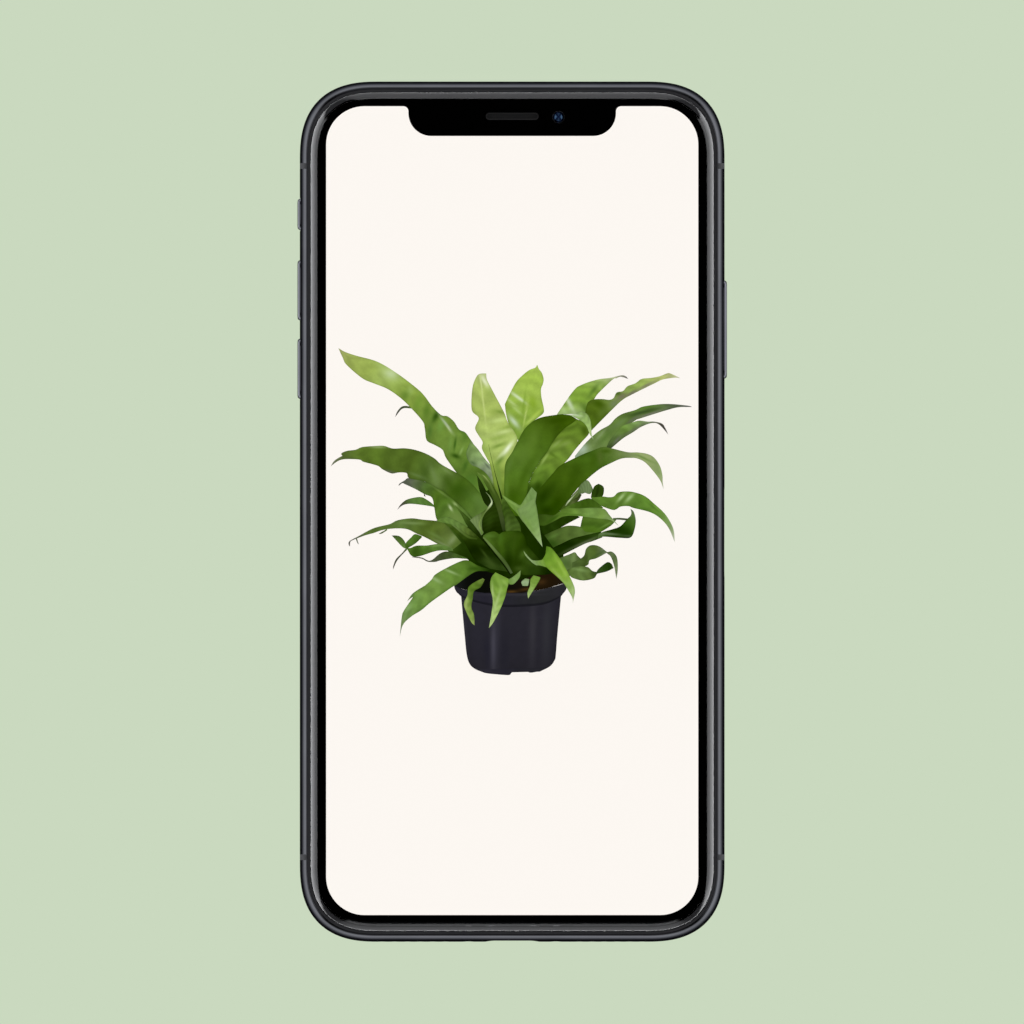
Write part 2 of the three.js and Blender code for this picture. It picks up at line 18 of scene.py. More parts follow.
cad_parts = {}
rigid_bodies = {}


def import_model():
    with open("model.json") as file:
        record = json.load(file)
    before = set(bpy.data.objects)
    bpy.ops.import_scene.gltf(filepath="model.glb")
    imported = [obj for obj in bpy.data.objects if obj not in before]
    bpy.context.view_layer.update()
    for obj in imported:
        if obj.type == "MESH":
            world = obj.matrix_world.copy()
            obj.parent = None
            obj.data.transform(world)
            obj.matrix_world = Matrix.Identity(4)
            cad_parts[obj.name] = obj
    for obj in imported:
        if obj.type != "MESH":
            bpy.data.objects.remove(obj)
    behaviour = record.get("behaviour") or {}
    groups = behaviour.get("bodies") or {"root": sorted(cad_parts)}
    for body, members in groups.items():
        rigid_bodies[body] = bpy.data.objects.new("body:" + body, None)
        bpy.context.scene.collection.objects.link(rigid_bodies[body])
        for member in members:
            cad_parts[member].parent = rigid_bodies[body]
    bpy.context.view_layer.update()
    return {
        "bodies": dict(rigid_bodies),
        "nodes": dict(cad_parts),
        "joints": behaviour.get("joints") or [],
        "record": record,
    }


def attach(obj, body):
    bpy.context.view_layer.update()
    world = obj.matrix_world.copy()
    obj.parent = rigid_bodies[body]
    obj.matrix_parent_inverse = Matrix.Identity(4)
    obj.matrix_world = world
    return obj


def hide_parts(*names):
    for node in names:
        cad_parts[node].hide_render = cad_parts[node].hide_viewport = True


LOG = logging.getLogger("smartphone")
MM = 0.001
WELD = 0.0004  # mm: points nearer than this are one
POINT = 1e-6  # mm: the least radius of a ring
PAST = 3.0  # mm: how far a cutter stands out of the body
THROUGH = 4.0  # mm: how deep a cutter goes that passes through the band
JOIN = 0.1  # mm: how far one part of a piece runs into the next
MANY_CORNERS = 12  # a face with more corners than this is a flat cap

Point2 = tuple[float, float]
Point3 = tuple[float, float, float]
Colour = tuple[float, float, float]
Outline = Callable[[float], Sequence[Point2]]  # the points of an outline, taken in by an inset
Piece = bpy.types.Object
Socket = bpy.types.NodeSocket


# ---------- shader maths
class Value:
    """A number in a shader's links. Sums written with it add Math nodes."""

    def __init__(self, graph: "Graph", socket: Socket) -> None:
        """Wraps a socket.

        Args:
            graph: the node tree's maker.
            socket: the output that carries the number.
        """
        self.graph = graph
        self.socket = socket

    def _math(self, operation: str, *terms: object) -> "Value":
        """Adds a Math node.

        Args:
            operation: the Math node's operation.
            terms: its inputs, as numbers or values.

        Returns:
            The node's result.
        """
        inputs = {i: t for i, t in enumerate(terms)}
        node = self.graph.node("ShaderNodeMath", {"operation": operation}, inputs)
        return Value(self.graph, node.outputs[0])

    def __add__(self, other: object) -> "Value":
        """self + other."""
        return self._math("ADD", self, other)

    __radd__ = __add__

    def __sub__(self, other: object) -> "Value":
        """self - other."""
        return self._math("SUBTRACT", self, other)

    def __rsub__(self, other: object) -> "Value":
        """other - self."""
        return self._math("SUBTRACT", other, self)

    def __mul__(self, other: object) -> "Value":
        """self * other."""
        return self._math("MULTIPLY", self, other)

    __rmul__ = __mul__

    def __truediv__(self, other: object) -> "Value":
        """self / other."""
        return self._math("DIVIDE", self, other)

    def __abs__(self) -> "Value":
        """The value without its sign."""
        return self._math("ABSOLUTE", self)

    def call(self, operation: str, *others: object) -> "Value":
        """Any other operation of a Math node.

        Args:
            operation: its name.
            others: the inputs after this value.

        Returns:
            The result.
        """
        return self._math(operation, self, *others)

    def ramp(self, low: float, high: float, start: float = 0.0, end: float = 1.0) -> "Value":
        """A smooth step of the value.

        Args:
            low: where the step begins.
            high: where it ends.
            start: the result up to low.
            end: the result from high on.

        Returns:
            The stepped value.
        """
        settings = {"interpolation_type": "SMOOTHSTEP", "clamp": True}
        inputs = {"Value": self, "From Min": low, "From Max": high, "To Min": start, "To Max": end}
        node = self.graph.node("ShaderNodeMapRange", settings, inputs)
        return Value(self.graph, node.outputs[0])


class Graph:
    """Makes the nodes of one material or world."""

    def __init__(self, tree: bpy.types.NodeTree) -> None:
        """Empties a node tree.

        Args:
            tree: the tree to fill.
        """
        tree.nodes.clear()
        self.tree = tree

    def node(
        self, kind: str, settings: dict | None = None, inputs: dict | None = None
    ) -> bpy.types.Node:
        """Adds a node of any type.

        Args:
            kind: the node's type.
            settings: its properties; a ramp's stops go under "stops".
            inputs: its sockets by name or place, each a number, colour, value, socket or node.

        Returns:
            The node.
        """
        made = self.tree.nodes.new(kind)
        for name, setting in (settings or {}).items():
            if name == "stops":
                self._stops(made.color_ramp, setting)
            else:
                setattr(made, name, setting)
        for name, source in (inputs or {}).items():
            socket = made.inputs[name]
            if isinstance(source, Value):
                self.tree.links.new(source.socket, socket)
            elif isinstance(source, Socket):
                self.tree.links.new(source, socket)
            elif isinstance(source, bpy.types.Node):
                self.tree.links.new(source.outputs[0], socket)
            else:
                socket.default_value = source
        return made

    @staticmethod
    def _stops(ramp: bpy.types.ColorRamp, stops: Sequence[tuple[float, Colour]]) -> None:
        """Sets a ramp's stops.

        Args:
            ramp: the ramp.
            stops: each a place and a colour.
        """
        while len(ramp.elements) < len(stops):
            ramp.elements.new(1.0)
        for element, (place, colour) in zip(ramp.elements, stops):
            element.position = place
            element.color = (*colour, 1.0)

    def place(self, scale: Point3 = (1.0, 1.0, 1.0)) -> Socket:
        """The point on the piece, in millimetres.

        Args:
            scale: stretches the pattern along each direction.

        Returns:
            The vector.
        """
        coordinates = self.node("ShaderNodeTexCoord")
        whole = tuple(s / MM for s in scale)
        inputs = {"Vector": coordinates.outputs["Object"], "Scale": whole}
        return self.node("ShaderNodeMapping", None, inputs).outputs[0]

    def noise(self, size: float, detail: float = 3.0, scale: Point3 = (1.0, 1.0, 1.0)) -> Value:
        """Cloudy noise on the piece.

        Args:
            size: the width of its patches, in millimetres.
            detail: its finer layers.
            scale: stretches it along each direction.

        Returns:
            A value about 0.5.
        """
        inputs = {"Vector": self.place(scale), "Scale": 1.0 / size, "Detail": detail}
        return Value(self, self.node("ShaderNodeTexNoise", None, inputs).outputs[0])

    def blend(self, share: object, first: object, second: object) -> Socket:
        """A mix of two colours.

        Args:
            share: how much of the second.
            first: a colour or socket.
            second: a colour or socket.

        Returns:
            The mixed colour.
        """
        inputs = {0: share, 6: self._rgba(first), 7: self._rgba(second)}
        return self.node("ShaderNodeMix", {"data_type": "RGBA"}, inputs).outputs[2]

    @staticmethod
    def _rgba(colour: object) -> object:
        """A plain colour with its alpha; a socket stays as it is."""
        return (*colour, 1.0) if isinstance(colour, tuple) else colour

    def bump(self, height: Value, depth: float, strength: float = 1.0) -> Socket:
        """A bumped normal.

        Args:
            height: the relief, 0 to 1.
            depth: what 1 stands for, in millimetres.
            strength: how much of it shows.

        Returns:
            The normal.
        """
        inputs = {"Height": height, "Distance": depth * MM, "Strength": strength}
        return self.node("ShaderNodeBump", None, inputs).outputs[0]

    def surface(self, inputs: dict) -> bpy.types.Node:
        """A Principled shader wired to the output.

        Args:
            inputs: its sockets.

        Returns:
            The shader's node.
        """
        shader = self.node("ShaderNodeBsdfPrincipled", None, inputs)
        self.output(shader)
        return shader

    def output(self, shader: bpy.types.Node) -> None:
        """Wires a shader to a material's output."""
        self.node("ShaderNodeOutputMaterial", None, {"Surface": shader.outputs[0]})


def srgb(red: float, green: float, blue: float) -> Colour:
    """A screen colour as light.

    Args:
        red: 0 to 255.
        green: 0 to 255.
        blue: 0 to 255.

    Returns:
        The linear colour.
    """
    parts = [max(0.0, min(1.0, c / 255.0)) for c in (red, green, blue)]
    return tuple(c / 12.92 if c <= 0.04045 else ((c + 0.055) / 1.055) ** 2.4 for c in parts)


# ---------- finishes
@dataclass(frozen=True)
class Finish:
    """One finish of the phone: its slot in the record, and how its material is made."""

    slot: str

    def material(self) -> bpy.types.Material:
        """The finish's material, made once."""
        name = f"{self.slot}_{type(self).__name__.lower()}"
        found = bpy.data.materials.get(name)
        if found is None:
            found = bpy.data.materials.new(name)
            found.use_nodes = True
            self.build(Graph(found.node_tree))
        return found

    def build(self, graph: Graph) -> None:
        """Makes the nodes; each finish has its own."""
        raise NotImplementedError


@dataclass(frozen=True)
class BlastedMetal(Finish):
    """Metal with a fine blasted face: the band, the tray and the small steel and copper parts."""

    colour: Colour = (0.054, 0.055, 0.06)
    roughness: float = 0.18
    grain: float = 0.05
    wear: float = 0.04
    edge: float = 0.33

    def build(self, graph: Graph) -> None:
        """A faint cloud in colour and roughness over a very fine grain.

        Args:
            graph: the material's nodes.
        """
        cloud = graph.noise(9.0)
        grain = graph.noise(self.grain * 2, 1.0)
        pale = tuple(c * 1.12 for c in self.colour)
        graph.surface({
            "Base Color": graph.blend(cloud.ramp(0.35, 0.7), self.colour, pale),
            "Metallic": 1.0,
            "Roughness": self.roughness + self.wear * (cloud - 0.5) + 0.04 * (grain - 0.5),
            "Specular Tint": (self.edge, self.edge, self.edge, 1.0),
            "Normal": graph.bump(grain, 0.0006, 0.5),
        })


@dataclass(frozen=True)
class PolishedMetalPaintedHighlight(BlastedMetal):
    """The same metal, polished smoother, its colour made paler than the band's as a painted
    highlight: the keys.
    """

    # paler than the band's colour: a painted highlight on the keys
    colour: Colour = (0.098, 0.1, 0.111)
    roughness: float = 0.14


@dataclass(frozen=True)
class Moulded(Finish):
    """Moulded plastic or rubber with a fine even texture."""

    colour: Colour = (0.02, 0.02, 0.022)
    roughness: float = 0.5
    texture: float = 0.25
    depth: float = 0.002
    shine: float = 0.5

    def build(self, graph: Graph) -> None:
        """Fine spark texture with faint flow marks.

        Args:
            graph: the material's nodes.
        """
        spark = graph.noise(self.texture, 2.0)
        flow = graph.noise(6.0, 2.0, (1.0, 0.3, 1.0))
        pale = tuple(c * 1.25 for c in self.colour)
        graph.surface({
            "Base Color": graph.blend(flow.ramp(0.3, 0.7), self.colour, pale),
            "Roughness": self.roughness + 0.1 * (spark - 0.5) + 0.06 * (flow - 0.5),
            "Specular IOR Level": self.shine,
            "Normal": graph.bump(spark, self.depth, 0.6),
        })


@dataclass(frozen=True)
class ClearGlass(Finish):
    """Clear glass: a polished rounded rim, a ground edge, and a flat face coated against glare."""

    ior: float = 2.3
    flat: float = 0.12
    roughness: float = 0.03
    ground: Point2 = (0.55, 0.76)  # how upright the ground edge's face is, from all to none
    coated: Point2 = (0.9965, 0.9995)  # the same where the coating starts

    def build(self, graph: Graph) -> None:
        """A clear film under a mirror that strengthens as the view gets flatter.

        Args:
            graph: the material's nodes.
        """
        smear = graph.noise(14.0, 4.0)
        mirror = graph.node("ShaderNodeBsdfAnisotropic", None, {
            "Color": (1.0, 1.0, 1.0, 1.0),
            "Roughness": self.roughness + 0.01 * smear,
        })
        clear = graph.node("ShaderNodeBsdfTransparent")
        edge = graph.node("ShaderNodeFresnel", None, {"IOR": self.ior})
        side = graph.node("ShaderNodeNewGeometry")
        lie = graph.node("ShaderNodeTexCoord")
        parts = graph.node("ShaderNodeSeparateXYZ", None, {0: lie.outputs["Normal"]})
        lift = abs(Value(graph, parts.outputs[2]))
        share = Value(graph, edge.outputs[0]) * (1 - Value(graph, side.outputs["Backfacing"]))
        share = share * lift.ramp(*self.ground) * lift.ramp(*self.coated, 1.0, self.flat)
        inputs = {0: share, 1: clear.outputs[0], 2: mirror.outputs[0]}
        graph.output(graph.node("ShaderNodeMixShader", None, inputs))


@dataclass(frozen=True)
class LitDisplay(Finish):
    """The lit panel, which glows in the colour of its own picture."""

    strength: float = 1.024

    def build(self, graph: Graph) -> None:
        """Light from the picture's colour attribute on a black, matt panel.

        Args:
            graph: the material's nodes.
        """
        picture = graph.node("ShaderNodeVertexColor", {"layer_name": FernPicture.LAYER})
        graph.surface({
            "Base Color": (0.0, 0.0, 0.0, 1.0),
            "Roughness": 1.0,
            "Specular IOR Level": 0.0,
            "Emission Color": picture.outputs["Color"],
            "Emission Strength": self.strength,
        })


@dataclass(frozen=True)
class TintedGlass(Finish):
    """Opaque coloured glass, painted behind: the back of the phone."""

    colour: Colour = (0.028, 0.029, 0.032)
    roughness: float = 0.08

    def build(self, graph: Graph) -> None:
        """Deep paint under a clear polished coat with the faintest smears.

        Args:
            graph: the material's nodes.
        """
        paint = graph.noise(0.3, 1.0)
        smear = graph.noise(18.0, 5.0, (1.0, 0.5, 1.0))
        pale = tuple(c * 1.15 for c in self.colour)
        graph.surface({
            "Base Color": graph.blend(paint.ramp(0.3, 0.7), self.colour, pale),
            "Roughness": self.roughness + 0.05 * smear.ramp(0.45, 0.75),
            "IOR": 1.5,
            "Coat Weight": 0.6,
            "Coat Roughness": 0.02,
        })


@dataclass(frozen=True)
class CoatedLens(Finish):
    """Dark lens glass with a coloured coating, and a painted sheen towards its edge."""

    colour: Colour = (0.004, 0.008, 0.03)
    # the blue of the painted sheen at the lens's edge
    painted_sheen: Colour = (0.02, 0.05, 0.12)

    def build(self, graph: Graph) -> None:
        """A painted sheen: the base colour turns to the coating's blue towards the lens's edge,
        where the view grows flatter.

        Args:
            graph: the material's nodes.
        """
        facing = graph.node("ShaderNodeLayerWeight", None, {"Blend": 0.4})
        edge = Value(graph, facing.outputs["Facing"])
        speck = graph.noise(0.4, 2.0)
        graph.surface({
            # painted sheen: the base colour follows how flat the view is
            "Base Color": graph.blend(edge.ramp(0.1, 0.9), self.colour, self.painted_sheen),
            "Roughness": 0.05 + 0.03 * speck,
            "IOR": 2.1,
            "Specular Tint": (0.3, 0.62, 1.0, 1.0),
        })


@dataclass(frozen=True)
class Printed(Finish):
    """A circuit board: green-black lacquer over copper lines."""

    colour: Colour = (0.012, 0.045, 0.03)

    def build(self, graph: Graph) -> None:
        """Copper lines in a fine grid that shows through the lacquer.

        Args:
            graph: the material's nodes.
        """
        inputs = {"Vector": graph.place(), "Scale": 1.3}
        cells = graph.node("ShaderNodeTexBrick", {"offset": 0.5}, inputs)
        lines = Value(graph, cells.outputs["Fac"])
        spots = graph.noise(1.2, 3.0)
        lit = tuple(c * 2.2 for c in self.colour)
        graph.surface({
            "Base Color": graph.blend(lines * spots.ramp(0.4, 0.6), self.colour, lit),
            "Roughness": 0.35 + 0.2 * spots,
            "Normal": graph.bump(lines, 0.02, 0.4),
        })


@dataclass(frozen=True)
class Diffuser(Finish):
    """The flash's pale ribbed diffuser over its two yellow lamps."""

    centre: Point2 = (26.6, 50.0)

    def build(self, graph: Graph) -> None:
        """Rings of fine ribs round the lamp, with a yellow heart.

        Args:
            graph: the material's nodes.
        """
        from_middle = graph.node("ShaderNodeMapping", None, {
            "Vector": graph.place(),
            "Location": (-self.centre[0], -self.centre[1], 0.0),
            "Scale": (1.0, 1.0, 0.0),
        })
        reach = graph.node("ShaderNodeVectorMath", {"operation": "LENGTH"}, {0: from_middle})
        radius = Value(graph, reach.outputs["Value"])
        ribs = (radius * 22.0).call("SINE") * 0.5 + 0.5
        graph.surface({
            "Base Color": graph.blend(radius.ramp(0.5, 1.1), (0.85, 0.62, 0.2), (0.85, 0.83, 0.76)),
            "Roughness": 0.25 + 0.1 * ribs,
            "Normal": graph.bump(ribs, 0.03, 0.7),
            "Coat Weight": 0.8,
            "Coat Roughness": 0.05,
        })


class Finishes:
    """Every finish of the phone, by its use."""

    METAL = BlastedMetal("graphite_metal")
    # the keys' paler colour is a painted highlight
    KEYS = PolishedMetalPaintedHighlight("graphite_metal")
    STRIP = Moulded("antenna_plastic", (0.045, 0.046, 0.05), 0.5, 0.4, 0.001, 0.1)
    GLASS = ClearGlass("cover_glass")
    SEAL = Moulded("gasket", (0.021, 0.021, 0.023), 0.6, shine=0.15)
    INK = Moulded("bezel_ink", (0.0003, 0.0003, 0.0003), 0.9, 0.5, 0.0005, 0.0)
    DISPLAY = LitDisplay("display")
    STEEL = BlastedMetal("steel", (0.42, 0.42, 0.43), 0.3, 0.08, edge=1.0)
    BACK = TintedGlass("back_glass")
    WRAP = Moulded("battery_wrap", (0.012, 0.012, 0.014), 0.35, 1.2, 0.01)
    BOARD = Printed("circuit_board")
    PLASTIC = Moulded("black_plastic", (0.012, 0.012, 0.0125), 0.55, shine=0.2)
    CARD = Moulded("card_plastic", (0.62, 0.62, 0.6), 0.45, 0.5, 0.001)
    COPPER = BlastedMetal("copper", (0.72, 0.3, 0.14), 0.25, 0.1, edge=1.0)
    LENS = CoatedLens("lens_glass")
    FLASH = Diffuser("flash_diffuser")


# ---------- outlines
def superellipse(
    width: float, height: float, corner: float, power: float, steps: int
) -> list[Point2]:
    """A rectangle whose corners are quarters of |x|^power + |y|^power.

    Args:
        width: its size along the first direction.
        height: its size along the second.
        corner: the corners' reach.
        power: 2 for round corners, more for fuller ones.
        steps: straight steps in each corner.

    Returns:
        The points, anticlockwise.
    """
    points: list[Point2] = []
    for quarter in range(4):
        right = 1 if quarter in (0, 3) else -1
        up = 1 if quarter < 2 else -1
        for step in range(steps + 1):
            angle = (quarter + step / steps) * math.pi / 2
            run, rise = math.cos(angle), math.sin(angle)
            x = right * (width / 2 - corner) + corner * math.copysign(abs(run) ** (2 / power), run)
            y = up * (height / 2 - corner) + corner * math.copysign(abs(rise) ** (2 / power), rise)
            points.append((x, y))
    return points


def arc(centre: Point2, radius: float, start: float, end: float, steps: int) -> list[Point2]:
    """Points along an arc.

    Args:
        centre: its centre.
        radius: its radius.
        start: its first angle, in quarter turns.
        end: its last angle, in quarter turns.
        steps: straight steps.

    Returns:
        The points, both ends among them.
    """
    angles = [(start + (end - start) * i / steps) * math.pi / 2 for i in range(steps + 1)]
    return [(centre[0] + radius * math.cos(a), centre[1] + radius * math.sin(a)) for a in angles]


def quarter_round(height: float, radius: float, steps: int, up: bool = True) -> list[Point2]:
    """A rounded edge of a section, from its upright side to its flat top.

    Args:
        height: the height of the flat face.
        radius: the rounding.
        steps: straight steps.
        up: True where the flat face looks up.

    Returns:
        Pairs of inset and height.
    """
    sign = 1 if up else -1
    angles = [i / steps * math.pi / 2 for i in range(steps + 1)]
    return [
        (radius * (1 - math.cos(a)), height - sign * radius * (1 - math.sin(a))) for a in angles
    ]


# ---------- modelling by operators
class Direction(Enum):
    """Which way a piece's section rises from its outline."""

    UP = "up"  # outline in XY, height along Z
    SIDE = "side"  # outline in YZ, height along X
    END = "end"  # outline in XZ, height along -Y

    def point(self, first: float, second: float, height: float) -> Point3:
        """A point of a piece that rises this way.

        Args:
            first: along the outline's first direction.
            second: along its second direction.
            height: how far it has risen.

        Returns:
            The point in the phone's frame.
        """
        if self is Direction.UP:
            return (first, second, height)
        if self is Direction.SIDE:
            return (height, first, second)
        return (first, -height, second)


class Workshop:
    """Models pieces with Blender's operators, in millimetres."""

    @staticmethod
    def clear() -> None:
        """Leaves edit mode and deselects everything."""
        if bpy.context.object is not None and bpy.context.object.mode != "OBJECT":
            bpy.ops.object.mode_set(mode="OBJECT")
        bpy.ops.object.select_all(action="DESELECT")

    @classmethod
    def pick(cls, *pieces: Piece) -> None:
        """Selects these pieces alone, the last one active."""
        cls.clear()
        for piece in pieces:
            piece.select_set(True)
            bpy.context.view_layer.objects.active = piece

    @classmethod
    def loft(
        cls, name: str, rings: Sequence[Sequence[Point3]], ends: bool = True
    ) -> Piece:
        """Extrudes a circle ring by ring onto the given rings.

        Args:
            name: the piece's name.
            rings: the points of each ring, all alike in number.
            ends: True closes the first and the last ring with a face; False welds them together.

        Returns:
            The piece.
        """
        cls.clear()
        bpy.ops.mesh.primitive_circle_add(vertices=len(rings[0]), radius=1.0, fill_type="NOTHING")
        piece = bpy.context.object
        piece.name = name
        bpy.ops.object.mode_set(mode="EDIT")
        mesh = bmesh.from_edit_mesh(piece.data)
        turn = mesh.verts.layers.int.new("turn")
        ring = mesh.verts.layers.int.new("ring")
        for i, vertex in enumerate(mesh.verts):
            vertex[turn] = i
            vertex.co = rings[0][i]
        for number, points in enumerate(rings[1:], 1):
            bpy.ops.mesh.extrude_edges_indiv()
            mesh = bmesh.from_edit_mesh(piece.data)
            for vertex in mesh.verts:
                if vertex.select:
                    vertex.co = points[vertex[turn]]
                    vertex[ring] = number
        if ends:
            for number in (len(rings) - 1, 0):
                cls._close(piece, ring, number)
        bpy.ops.mesh.select_all(action="SELECT")
        bpy.ops.mesh.remove_doubles(threshold=WELD)
        bpy.ops.mesh.normals_make_consistent(inside=False)
        cls._forget(piece)
        bpy.ops.object.mode_set(mode="OBJECT")
        return piece

    @staticmethod
    def _close(piece: Piece, layer: bmesh.types.BMLayerItem, number: int) -> None:
        """Fills one ring with a face.

        Args:
            piece: the piece in edit mode.
            layer: the layer that numbers the rings.
            number: the ring to fill.
        """
        mesh = bmesh.from_edit_mesh(piece.data)
        for vertex in mesh.verts:
            vertex.select = False
        mesh.select_flush(False)
        for edge in mesh.edges:
            edge.select = all(v[layer] == number for v in edge.verts)
        bmesh.update_edit_mesh(piece.data)
        bpy.ops.mesh.edge_face_add()

    @staticmethod
    def _forget(piece: Piece) -> None:
        """Removes the layers that only the modelling needs.

        Args:
            piece: the piece in edit mode.
        """
        mesh = bmesh.from_edit_mesh(piece.data)
        for name in ("turn", "ring"):
            mesh.verts.layers.int.remove(mesh.verts.layers.int[name])
        bmesh.update_edit_mesh(piece.data)

    @classmethod
    def rise(
        cls,
        name: str,
        outline: Outline,
        section: Sequence[Point2],
        direction: Direction = Direction.UP,
        ends: bool = True,
    ) -> Piece:
        """A piece whose outline is taken in or let out as it rises.

        Args:
            name: the piece's name.
            outline: its outline.
            section: pairs of inset and height.
            direction: which way the height runs.
            ends: True closes both ends; False welds the last ring to the first.

        Returns:
            The piece.
        """
        rings = [
            [direction.point(a, b, height) for a, b in outline(inset)] for inset, height in section
        ]
        return cls.loft(name, rings, ends)

    @classmethod
    def turned(
        cls,
        name: str,
        centre: Point2,
        profile: Sequence[Point2],
        sides: int = 48,
        direction: Direction = Direction.UP,
    ) -> Piece:
        """A round piece.

        Args:
            name: the piece's name.
            centre: its centre in the outline's two directions.
            profile: pairs of radius and height.
            sides: straight sides round it.
            direction: which way its axis runs.

        Returns:
            The piece.
        """
        rings = []
        for radius, height in profile:
            loop = arc(centre, max(radius, POINT), 0.0, 4.0, sides)[:-1]
            rings.append([direction.point(a, b, height) for a, b in loop])
        return cls.loft(name, rings, profile[0] != profile[-1])

    @classmethod
    def block(cls, name: str, low: Point3, high: Point3, soft: float = 0.0) -> Piece:
        """A box with softened edges.

        Args:
            name: the piece's name.
            low: its lowest corner.
            high: its highest corner.
            soft: the width of the bevel on its edges.

        Returns:
            The piece.
        """
        cls.clear()
        middle = [(a + b) / 2 for a, b in zip(low, high)]
        size = [b - a for a, b in zip(low, high)]
        bpy.ops.mesh.primitive_cube_add(size=1.0, location=middle, scale=size)
        piece = bpy.context.object
        piece.name = name
        bpy.ops.object.transform_apply(location=True, rotation=True, scale=True)
        if soft:
            bpy.ops.object.mode_set(mode="EDIT")
            bpy.ops.mesh.select_all(action="SELECT")
            bpy.ops.mesh.bevel(offset=soft, segments=3, affect="EDGES")
            bpy.ops.object.mode_set(mode="OBJECT")
        return piece

    @classmethod
    def copy(
        cls, piece: Piece, name: str, shift: Point3 = (0.0, 0.0, 0.0)
    ) -> Piece:
        """A copy with its own mesh, moved.

        Args:
            piece: what is copied.
            name: the copy's name.
            shift: how far it moves.

        Returns:
            The copy.
        """
        cls.pick(piece)
        bpy.ops.object.duplicate(linked=False)
        twin = bpy.context.object
        twin.name = name
        bpy.ops.transform.translate(value=shift)
        bpy.ops.object.transform_apply(location=True, rotation=True, scale=True)
        return twin

    @classmethod
    def cut(cls, piece: Piece, *tools: Piece) -> None:
        """Cuts the tools out of a piece.

        Args:
            piece: the piece.
            tools: closed shapes, which are removed afterwards.
        """
        for tool in tools:
            cls.pick(piece)
            bpy.ops.object.modifier_add(type="BOOLEAN")
            change = piece.modifiers[-1]
            change.operation = "DIFFERENCE"
            change.solver = "EXACT"
            change.object = tool
            bpy.ops.object.modifier_apply(modifier=change.name)
            bpy.data.objects.remove(tool)

    @classmethod
    def join(cls, name: str, pieces: Iterable[Piece]) -> Piece:
        """Makes one piece of several.

        Args:
            name: its name.
            pieces: what is joined.

        Returns:
            The joined piece.
        """
        found = list(pieces)
        cls.pick(*found)
        if len(found) > 1:
            bpy.ops.object.join()
        whole = bpy.context.object
        whole.name = name
        return whole

    @classmethod
    def slice(cls, piece: Piece, point: Point3, normal: Point3) -> None:
        """Keeps what lies behind a plane, and closes the cut.

        Args:
            piece: the piece.
            point: a point of the plane.
            normal: points at what is taken away.
        """
        cls.pick(piece)
        bpy.ops.object.mode_set(mode="EDIT")
        bpy.ops.mesh.select_all(action="SELECT")
        bpy.ops.mesh.bisect(
            plane_co=point, plane_no=normal, use_fill=True, clear_outer=True, threshold=WELD / 4
        )
        bpy.ops.object.mode_set(mode="OBJECT")


class Phone:
    """Settles and dresses the finished pieces in the shared frame."""

    def __init__(self, frame: dict) -> None:
        self.frame = frame

    def settle(
        self,
        piece: Piece,
        finish: Finish,
        body: str = "body",
        replaces: Sequence[str] = (),
        smooth: float | None = 30.0,
    ) -> None:
        """Brings a piece from millimetres to its final place, and dresses it.

        Args:
            piece: the modelled piece.
            finish: its finish.
            body: the body that it moves with.
            replaces: the solids that it stands for.
            smooth: edges that turn less than this many degrees are shaded smooth.
        """
        Workshop.pick(piece)
        piece.scale = (MM, MM, MM)
        bpy.ops.object.transform_apply(location=True, rotation=True, scale=True)
        if smooth is not None:
            bpy.ops.object.shade_smooth_by_angle(angle=math.radians(smooth))
            self._flatten(piece)
        piece.data.materials.clear()
        piece.data.materials.append(finish.material())
        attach(piece, body)
        if replaces:
            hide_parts(*replaces)
        LOG.info("%s: %d faces, %s, on %s", piece.name, len(piece.data.polygons), finish.slot, body)

    @staticmethod
    def _flatten(piece: Piece) -> None:
        """Shades a piece's many-cornered faces flat, so that they mirror without waves.

        Args:
            piece: the piece.
        """
        Workshop.pick(piece)
        for face in piece.data.polygons:
            face.select = len(face.vertices) > MANY_CORNERS
        bpy.ops.object.mode_set(mode="EDIT")
        bpy.ops.mesh.select_mode(type="FACE")
        bpy.ops.mesh.faces_shade_flat()
        bpy.ops.object.mode_set(mode="OBJECT")

    def dress(self, node: str, finish: Finish) -> None:
        """Gives a solid that stays its finish.

        Args:
            node: the solid's name.
            finish: its finish.
        """
        solid = self.frame["nodes"][node]
        if not solid.material_slots:
            solid.data.materials.append(finish.material())
        for place in solid.material_slots:
            place.material = finish.material()
        LOG.info("%s keeps its solid, %s", node, finish.slot)


# ---------- the body's own shape
@dataclass(frozen=True)
class BodyShape:
    """The phone's outer form, shared by its sub-assemblies. Sizes are in millimetres."""

    width: float = 70.9
    height: float = 143.6
    thick: float = 7.7
    corner: float = 13.1
    power: float = 2.54
    steps: int = 40

    @property
    def middle(self) -> float:
        """The height of the body's middle."""
        return self.thick / 2

    @property
    def half_width(self) -> float:
        """Half its width."""
        return self.width / 2

    @property
    def half_height(self) -> float:
        """Half its height."""
        return self.height / 2

    def outline(self, inset: float) -> list[Point2]:
        """The body's outline, taken in by inset."""
        width, height = self.width - 2 * inset, self.height - 2 * inset
        return superellipse(width, height, self.corner - inset, self.power, self.steps)


BODY = BodyShape()


def pill(length: float, width: float, centre: Point2 = (0.0, 0.0), steps: int = 12) -> Outline:
    """A rectangle with half-round ends, as an outline that can be taken in.

    Args:
        length: its size along the first direction.
        width: its size along the second.
        centre: its centre.
        steps: straight steps in each quarter of its ends.

    Returns:
        The outline.
    """
    def outline(inset: float) -> list[Point2]:
        """The pill's points, taken in by inset."""
        long, wide = length - 2 * inset, width - 2 * inset
        corner = min(long, wide) / 2 - 0.0005
        points = superellipse(long, wide, corner, 2.0, steps)
        return [(centre[0] + a, centre[1] + b) for a, b in points]

    return outline


